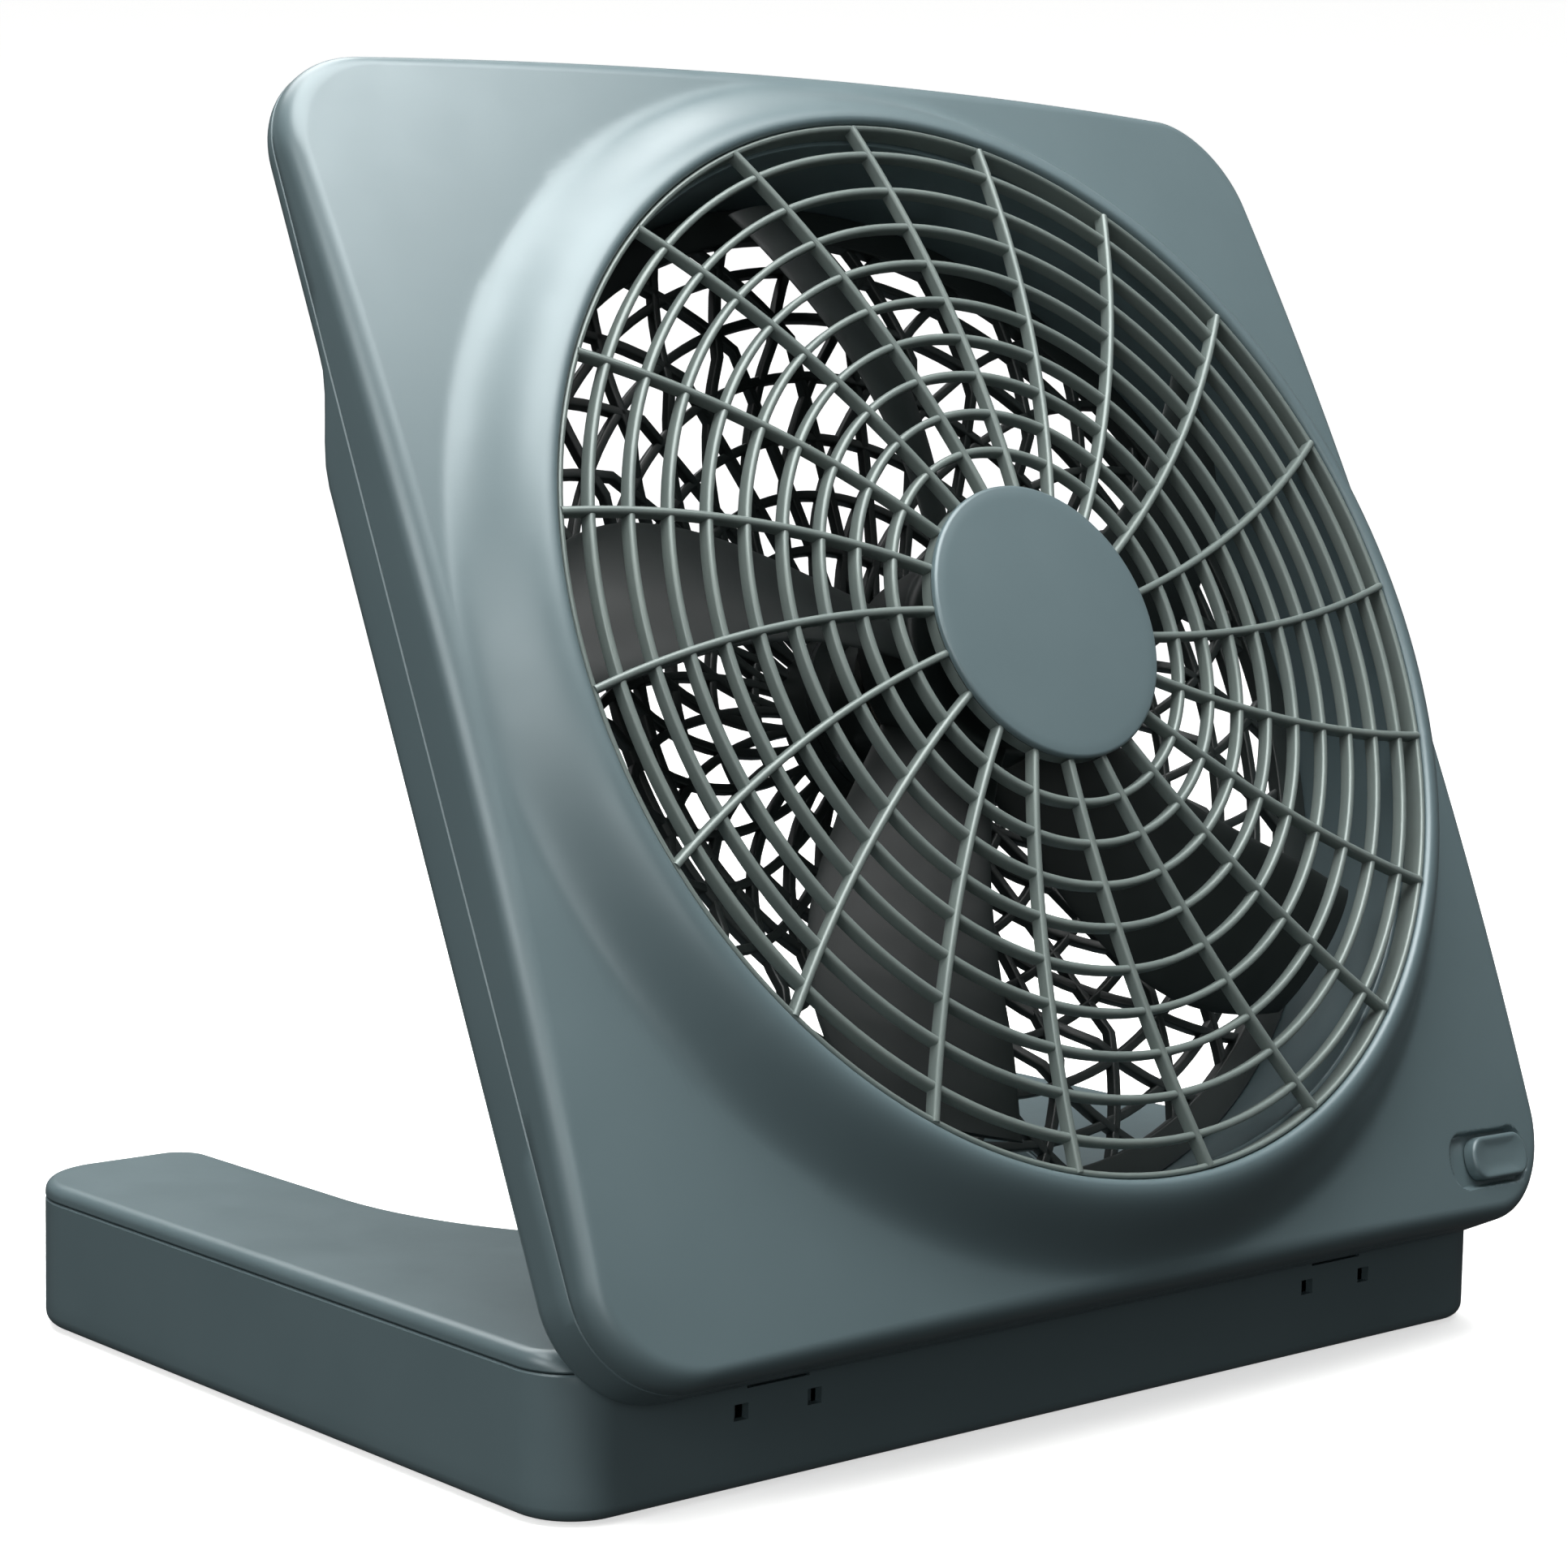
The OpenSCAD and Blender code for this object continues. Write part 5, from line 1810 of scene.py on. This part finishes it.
@dataclass
class BaseShells:
    """Lower tray and upper cover of the base."""

    plan: BasePlan = field(default_factory=BasePlan)
    low: float = 0.8
    top: float = 39.05
    parting: float = 34.5
    groove: float = 0.35
    hinge_z: float = 30.0
    wall: float = 2.2
    roof: float = 1.85
    floor: float = 2.0
    front_round: float = 9.05
    top_round: float = 3.0
    bottom_round: float = 3.6
    lug_x: float = 95.6
    lug_w: float = 18.6
    lug_low: float = 5.6
    hole_w: float = 4.2
    hole_h: float = 3.8
    hole_z: float = 19.2
    hole_x: float = 11.0
    cell_x: float = 131.4
    door_half_w: float = 20.2
    door_front_y: float = 27.0
    tongue: float = 2.2
    slide_gap: float = 0.15
    groove_z: float = 1.85
    groove_h: float = 1.05
    bay_front_y: float = 22.0
    jack_y: float = 11.0
    jack_z: float = 18.0
    jack_r: float = 4.6
    foot_place: tuple[float, float] = (114.0, 6.0)
    foot_r: float = 6.05
    foot_depth: float = 0.8
    screw_places: tuple[tuple[float, float], ...] = ((30, 20), (136, 4), (90, 55))
    well_r: float = 3.6
    well_depth: float = 0.9
    bore_r: float = 1.9
    bore_sides: int = 20
    past: float = 1.0  # how far a cut runs past the skin it opens
    cap_inset: float = 1.5
    rim_chamfer: float = 0.35
    rim_step: float = 0.4
    bulkhead_t: float = 2.0
    rail_rise: float = 1.2
    ear_half_t: float = 2.0
    ear_half_y: float = 5.0

    def inset(self, height: float, share: Array, skin: float) -> Array:
        """How far the outline is drawn in at a height.

        Args:
            height: Height above the ground.
            share: Each point's share of the front's large rounding.
            skin: 0 on the outside, 1 on the inside of the walls.

        Returns:
            The wall's thickness inside, plus a quarter round at the top and one at
            the bottom: radius less the root of its square less the height's square.
        """
        big = mix(self.top_round, self.front_round, share) - skin * self.roof
        ceiling = self.top - skin * self.roof
        rise = np.clip(height - (ceiling - big), 0.0, big)
        upper = big - np.sqrt(np.maximum(big**2 - rise**2, 0.0))
        small = self.bottom_round - skin * self.floor
        ground = self.low + skin * self.floor
        fall = np.clip(ground + small - height, 0.0, small)
        lower = small - np.sqrt(np.maximum(small**2 - fall**2, 0.0))
        return skin * self.wall + upper + lower

    def ring(self, height: float, skin: float, extra: float = 0.0) -> Array:
        """The outline at a height, drawn in as inset says and by extra.

        Args:
            height: Height above the ground.
            skin: 0 outside, 1 inside the walls.
            extra: Further drawing in.

        Returns:
            The ring's points.
        """
        points, normals, share = self.plan.outline()
        inset = self.inset(height, share, skin) + extra
        flat = points - normals * inset[:, None]
        return np.column_stack([flat, np.full(len(flat), height)])

    def tray_skin(self) -> Surface:
        """The tray: outside from the bottom up to the parting line, then down the
        inside to the floor.

        Returns:
            The closed surface.
        """
        bend = np.radians(np.linspace(0.0, 90.0, 7))
        rise = self.low + self.bottom_round * (1 - np.cos(bend))
        inner_round = self.bottom_round - self.floor
        inner_rise = self.low + self.floor + inner_round * (1 - np.cos(bend))
        rim = self.parting - self.groove / 2
        rings = [self.ring(self.low, 0.0, self.cap_inset)]
        rings += [self.ring(z, 0.0) for z in rise]
        rings += [self.ring(z, 0.0) for z in np.linspace(8.0, self.hinge_z, 5)]
        rings += [self.ring(z, 0.0) for z in np.linspace(self.hinge_z + 1.0, rim - self.rim_step, 5)]
        rings += [self.ring(rim, 0.0, self.rim_chamfer), self.ring(rim, 1.0)]
        rings += [self.ring(z, 1.0) for z in (self.hinge_z, 12.0)]
        rings += [self.ring(z, 1.0) for z in inner_rise[::-1]]
        rings.append(self.ring(self.low + self.floor, 1.0, self.cap_inset))
        return ring_surface(np.stack(rings), closed=False)

    def cover_skin(self) -> Surface:
        """The cover: outside from the parting line over the top rounding, then the
        inside back to the parting line. The top and the ceiling are one flat
        polygon each, in place of the quads that would join them.

        Returns:
            The closed surface.
        """
        start = self.parting + self.groove / 2
        step = start + self.rim_step
        ceiling = self.top - self.roof
        rise = step + (self.top - step) * np.sin(np.radians(np.linspace(0.0, 90.0, 15)))
        inner_rise = start + (ceiling - start) * np.sin(np.radians(np.linspace(90.0, 0.0, 8)))
        outside = [self.ring(start, 0.0, self.rim_chamfer)]
        outside += [self.ring(z, 0.0) for z in rise]
        outside.append(self.ring(self.top, 0.0, self.cap_inset))
        under = [self.ring(ceiling, 1.0, self.cap_inset)]
        under += [self.ring(z, 1.0) for z in inner_rise]
        sides = len(under[0])
        after = len(outside) * sides
        crest = set(range(after - sides, after))
        surface = ring_surface(np.stack(outside + under), closed=True, caps=False)
        faces = [f for f in surface.faces if not (crest & set(f) and max(f) >= after)]
        faces.append(list(range(after - sides, after))[::-1])
        faces.append(list(range(after, after + sides)))
        return Surface(surface.points, faces)

    def lug_slots(self) -> Surface:
        """Slots through which the hinge lugs enter, to be cut from both shells.

        Returns:
            Two boxes.
        """
        front, half = self.plan.front - 5.0, self.lug_w / 2
        return mirrored(box((self.lug_x - half, front, self.hinge_z - self.lug_low),
                            (self.lug_x + half, 9.05, self.top + 5.0)))

    def tray_cuts(self) -> list[Surface]:
        """Mouths, grooves, holes and wells of the tray, in groups that don't meet.

        Returns:
            Two groups, each cut on its own.
        """
        inner, outer = self.cell_x - self.door_half_w, self.cell_x + self.door_half_w
        gap, rear = self.slide_gap, self.plan.rear + 5.0
        top, under = self.groove_z + self.groove_h, -self.past
        mouth = box((inner - gap, self.door_front_y - gap, under), (outer + gap, rear, top))
        grooves = box((inner - self.tongue - gap, self.door_front_y - gap, self.groove_z),
                      (outer + self.tongue + gap, rear + 1.0, top - 0.02))
        front, behind = self.plan.front - self.past, self.plan.front + self.wall + 0.8
        half_w, half_h = self.hole_w / 2, self.hole_h / 2
        holes = [
            box((x - half_w, front, self.hole_z - half_h), (x + half_w, behind, self.hole_z + half_h))
            for x in (self.lug_x - self.hole_x, self.lug_x + self.hole_x)
        ]
        foot = rod((*self.foot_place, under), (*self.foot_place, self.low + self.foot_depth), self.foot_r)
        wells = [rod((x, y, under), (x, y, self.low + self.well_depth), self.well_r)
                 for x, y in self.screw_places]
        bores = [rod((x, y, self.low + 0.5), (x, y, self.low + self.floor + self.past), self.bore_r,
                     self.bore_sides) for x, y in self.screw_places]
        side = self.plan.width / 2
        jack = rod((side - 6.0, self.jack_y, self.jack_z), (side + 2.0, self.jack_y, self.jack_z),
                   self.jack_r)
        return [
            joined([mirrored(joined([mouth, *holes, foot, *wells])), self.lug_slots(), jack]),
            mirrored(joined([grooves, *bores])),
        ]

    def tray_walls(self) -> list[Surface]:
        """Walls inside the tray, in groups that don't meet: bulkheads, door rails and
        the ears of the hinge pins.

        Returns:
            Two groups, each joined on its own.
        """
        wide = self.plan.width / 2 - 1.0
        near = self.plan.recess_r + 1.0
        rail_top = self.groove_z + self.groove_h + self.rail_rise
        floor = self.low + self.floor - 0.1
        rail_end = self.plan.rear - self.plan.rear_r
        inner, outer = self.cell_x - self.door_half_w + 0.8, self.cell_x + self.door_half_w - 0.8
        bulkhead = box((near + 1.0, self.bay_front_y, floor),
                       (wide - 0.6, self.bay_front_y + self.bulkhead_t, self.parting - 0.3))
        rails = [
            box((near, self.bay_front_y + 1.0, floor), (inner, rail_end, rail_top)),
            box((outer, self.bay_front_y + 1.0, floor), (wide, rail_end, rail_top)),
        ]
        half, deep = self.ear_half_t, self.ear_half_y
        ears = []
        for side in (-1, 1):
            x = self.lug_x + side * (self.lug_w / 2 + half + 0.1)
            ears.append(box((x - half, -deep, floor), (x + half, deep, self.hinge_z + 2.0)))
        return [mirrored(joined([bulkhead, *ears])), mirrored(joined(rails))]

    def build(self, finishes: Finishes) -> None:
        """Makes both shells, cuts their openings and dresses them.

        Args:
            finishes: Materials by slot name.
        """
        tray = mesh_object("base_tray_moulding", self.tray_skin())
        turn_outwards(tray)
        for wall in self.tray_walls():
            combine(tray, wall, "UNION")
        for cut in self.tray_cuts():
            combine(tray, cut, "DIFFERENCE")
        finish_piece(tray, Body.BASE, finishes["slate_abs"], ["base_tray"], 32.0)
        cover = mesh_object("base_cover_moulding", self.cover_skin())
        turn_outwards(cover)
        combine(cover, self.lug_slots(), "DIFFERENCE")
        finish_piece(cover, Body.BASE, finishes["slate_abs"], ["base_cover"], 32.0)


# ---------------------------------------------------------------- carried-over nodes


@dataclass
class CarriedNodes:
    """CAD nodes whose shape is right as it is: they only get their finish."""

    record: dict
    nodes: dict[str, bpy.types.Object]

    def build(self, finishes: Finishes) -> None:
        """Gives every shown CAD node the finish of its slot in the record.

        Args:
            finishes: Materials by slot name.
        """
        for part in self.record["subparts"]:
            target = self.nodes[part["node"]]
            if target.hide_render:
                continue
            slot = part["material_slot"]
            target.data.materials.clear()
            target.data.materials.append(finishes[slot])
            log.info("%s: carried over with %s", part["node"], slot)


# ---------------------------------------------------------------- studio


@dataclass(frozen=True)
class Softbox:
    """One soft rectangular light: where it hangs, in metres, its width and height,
    and its watts."""

    name: str
    place: tuple[float, float, float]
    size: tuple[float, float]
    power: float

    def build(self, aim: Vector) -> None:
        """Makes the light, facing a point, and hides its panel from the camera.

        Args:
            aim: The point it faces.
        """
        data = bpy.data.lights.new(self.name, "AREA")
        data.shape = "RECTANGLE"
        data.size, data.size_y = self.size
        data.energy = self.power
        lamp = bpy.data.objects.new(self.name, data)
        lamp.location = self.place
        lamp.rotation_euler = (aim - Vector(self.place)).to_track_quat("-Z", "Y").to_euler()
        lamp.visible_camera = False
        bpy.context.scene.collection.objects.link(lamp)


@dataclass
class Studio:
    """Pale floor that curves up to a low wall all round, soft lights, and the camera."""

    floor_colour: str = "#f4f4f2"
    floor_r: float = 3.2
    wall_h: float = 1.1
    sweep_r: float = 0.8
    floor_sides: int = 128
    floor_glow: float = 0.6
    aim: tuple[float, float, float] = (0.0, 0.0, 0.15)
    softboxes: tuple[Softbox, ...] = (
        Softbox("key_softbox", (-0.14, -0.12, 1.42), (1.3, 1.3), 35.0),
        Softbox("face_softbox", (0.5, -0.65, 1.6), (0.9, 0.6), 4.0),
        Softbox("left_softbox", (-2.2, -0.3, 1.1), (1.4, 1.0), 19.0),
        Softbox("front_fill", (-1.6, -1.9, 0.7), (1.4, 0.8), 9.0),
        Softbox("rear_softbox", (0.3, 1.9, 2.3), (2.0, 1.2), 34.0),
    )
    sky_colour: str = "#eef1f4"
    sky_rise: tuple[float, float] = (-0.2, 0.9)
    sky_strength: tuple[float, float] = (0.04, 0.22)
    eye: tuple[float, float, float] = (-0.6371, -0.6297, 0.2533)
    yaw: float = -41.01
    pitch: float = 6.43
    roll: float = 1.079
    lens: float = 85.63
    sensor: float = 36.0

    def backdrop(self) -> None:
        """Floor and wall as one bowl: flat, then a quarter circle, then upright."""
        turn = np.radians(np.linspace(0.0, 90.0, 16))
        inner = self.floor_r - self.sweep_r
        flat = np.linspace(0.0, inner, 6)
        curve = np.stack([inner + self.sweep_r * np.sin(turn), self.sweep_r * (1 - np.cos(turn))], -1)
        profile = np.vstack([
            np.stack([flat, 0 * flat], -1)[1:-1], curve, [[self.floor_r, self.wall_h]],
        ]) / MM
        rings = np.concatenate([
            profile[:, None, :1] * unit_circle(full_turn(self.floor_sides))[None],
            np.broadcast_to(profile[:, None, 1:], (len(profile), self.floor_sides, 1)),
        ], -1)
        surface = ring_surface(rings, closed=False, caps=False)
        surface.faces.append(list(range(self.floor_sides)))
        floor = mesh_object("studio_floor", surface)
        smooth_shading(floor, 40.0)
        material, shader = new_material("matt_paper_floor")
        shader.inputs["Base Color"].default_value = linear(self.floor_colour)
        shader.inputs["Roughness"].default_value = 0.9
        shader.inputs["Specular IOR Level"].default_value = 0.1
        shader.inputs["Emission Color"].default_value = linear("#ffffff")
        shader.inputs["Emission Strength"].default_value = self.floor_glow
        floor.data.materials.append(material)
        floor.visible_diffuse = False
        floor.visible_glossy = False

    def lights(self) -> None:
        """A broad light from overhead, dim ones from the front, the left and behind,
        and a dim sky that is darker below the horizon."""
        for softbox in self.softboxes:
            softbox.build(Vector(self.aim))
        world = bpy.data.worlds.new("dim_sky")
        world.use_nodes = True
        place = add_node(world, "ShaderNodeTexCoord")
        split = add_node(world, "ShaderNodeSeparateXYZ", links={"Vector": place.outputs["Generated"]})
        low, high = self.sky_rise
        dim, bright = self.sky_strength
        rise = add_node(
            world,
            "ShaderNodeMapRange",
            values={"From Min": low, "From Max": high, "To Min": dim, "To Max": bright},
            links={"Value": split.outputs["Z"]},
        )
        sky = world.node_tree.nodes["Background"]
        world.node_tree.links.new(rise.outputs["Result"], sky.inputs["Strength"])
        sky.inputs["Color"].default_value = linear(self.sky_colour)
        bpy.context.scene.world = world

    def camera(self) -> None:
        """Camera low to the left of the face, looking slightly down."""
        data = bpy.data.cameras.new("camera")
        data.sensor_width = self.sensor
        data.lens = self.lens
        data.clip_start, data.clip_end = 0.02, 50.0
        eye = bpy.data.objects.new("camera", data)
        yaw, pitch, roll = (math.radians(v) for v in (self.yaw, self.pitch, self.roll))
        right = Vector((math.cos(yaw), math.sin(yaw), 0.0))
        back = Vector((math.sin(yaw) * math.cos(pitch), -math.cos(yaw) * math.cos(pitch), math.sin(pitch)))
        up = back.cross(right)
        rolled_right = right * math.cos(roll) + up * math.sin(roll)
        rolled_up = up * math.cos(roll) - right * math.sin(roll)
        turn = Matrix((rolled_right, rolled_up, back)).transposed()
        eye.matrix_world = Matrix.Translation(self.eye) @ turn.to_4x4()
        bpy.context.scene.collection.objects.link(eye)
        bpy.context.scene.camera = eye

    def build(self) -> None:
        """Sets up camera, floor and lights, with plain display colours."""
        self.camera()
        self.backdrop()
        self.lights()
        bpy.context.scene.view_settings.view_transform = "Standard"


def main() -> None:
    """Builds the studio and every sub-assembly in order."""
    logging.basicConfig(level=logging.INFO, format="%(name)s: %(message)s")
    head = HeadFrame.from_record(frame["joints"])
    finishes = Finishes()
    Studio().build()
    for assembly in (
        BaseShells(),
        FrontBezel(head),
        RearShell(head),
        FrontGrille(head),
        HubDisc(head),
        RearGrille(head),
        FanBlades(head),
        SwitchKnob(head),
        CarriedNodes(frame["record"], frame["nodes"]),
    ):
        assembly.build(finishes)


if __name__ == "__main__":
    main()
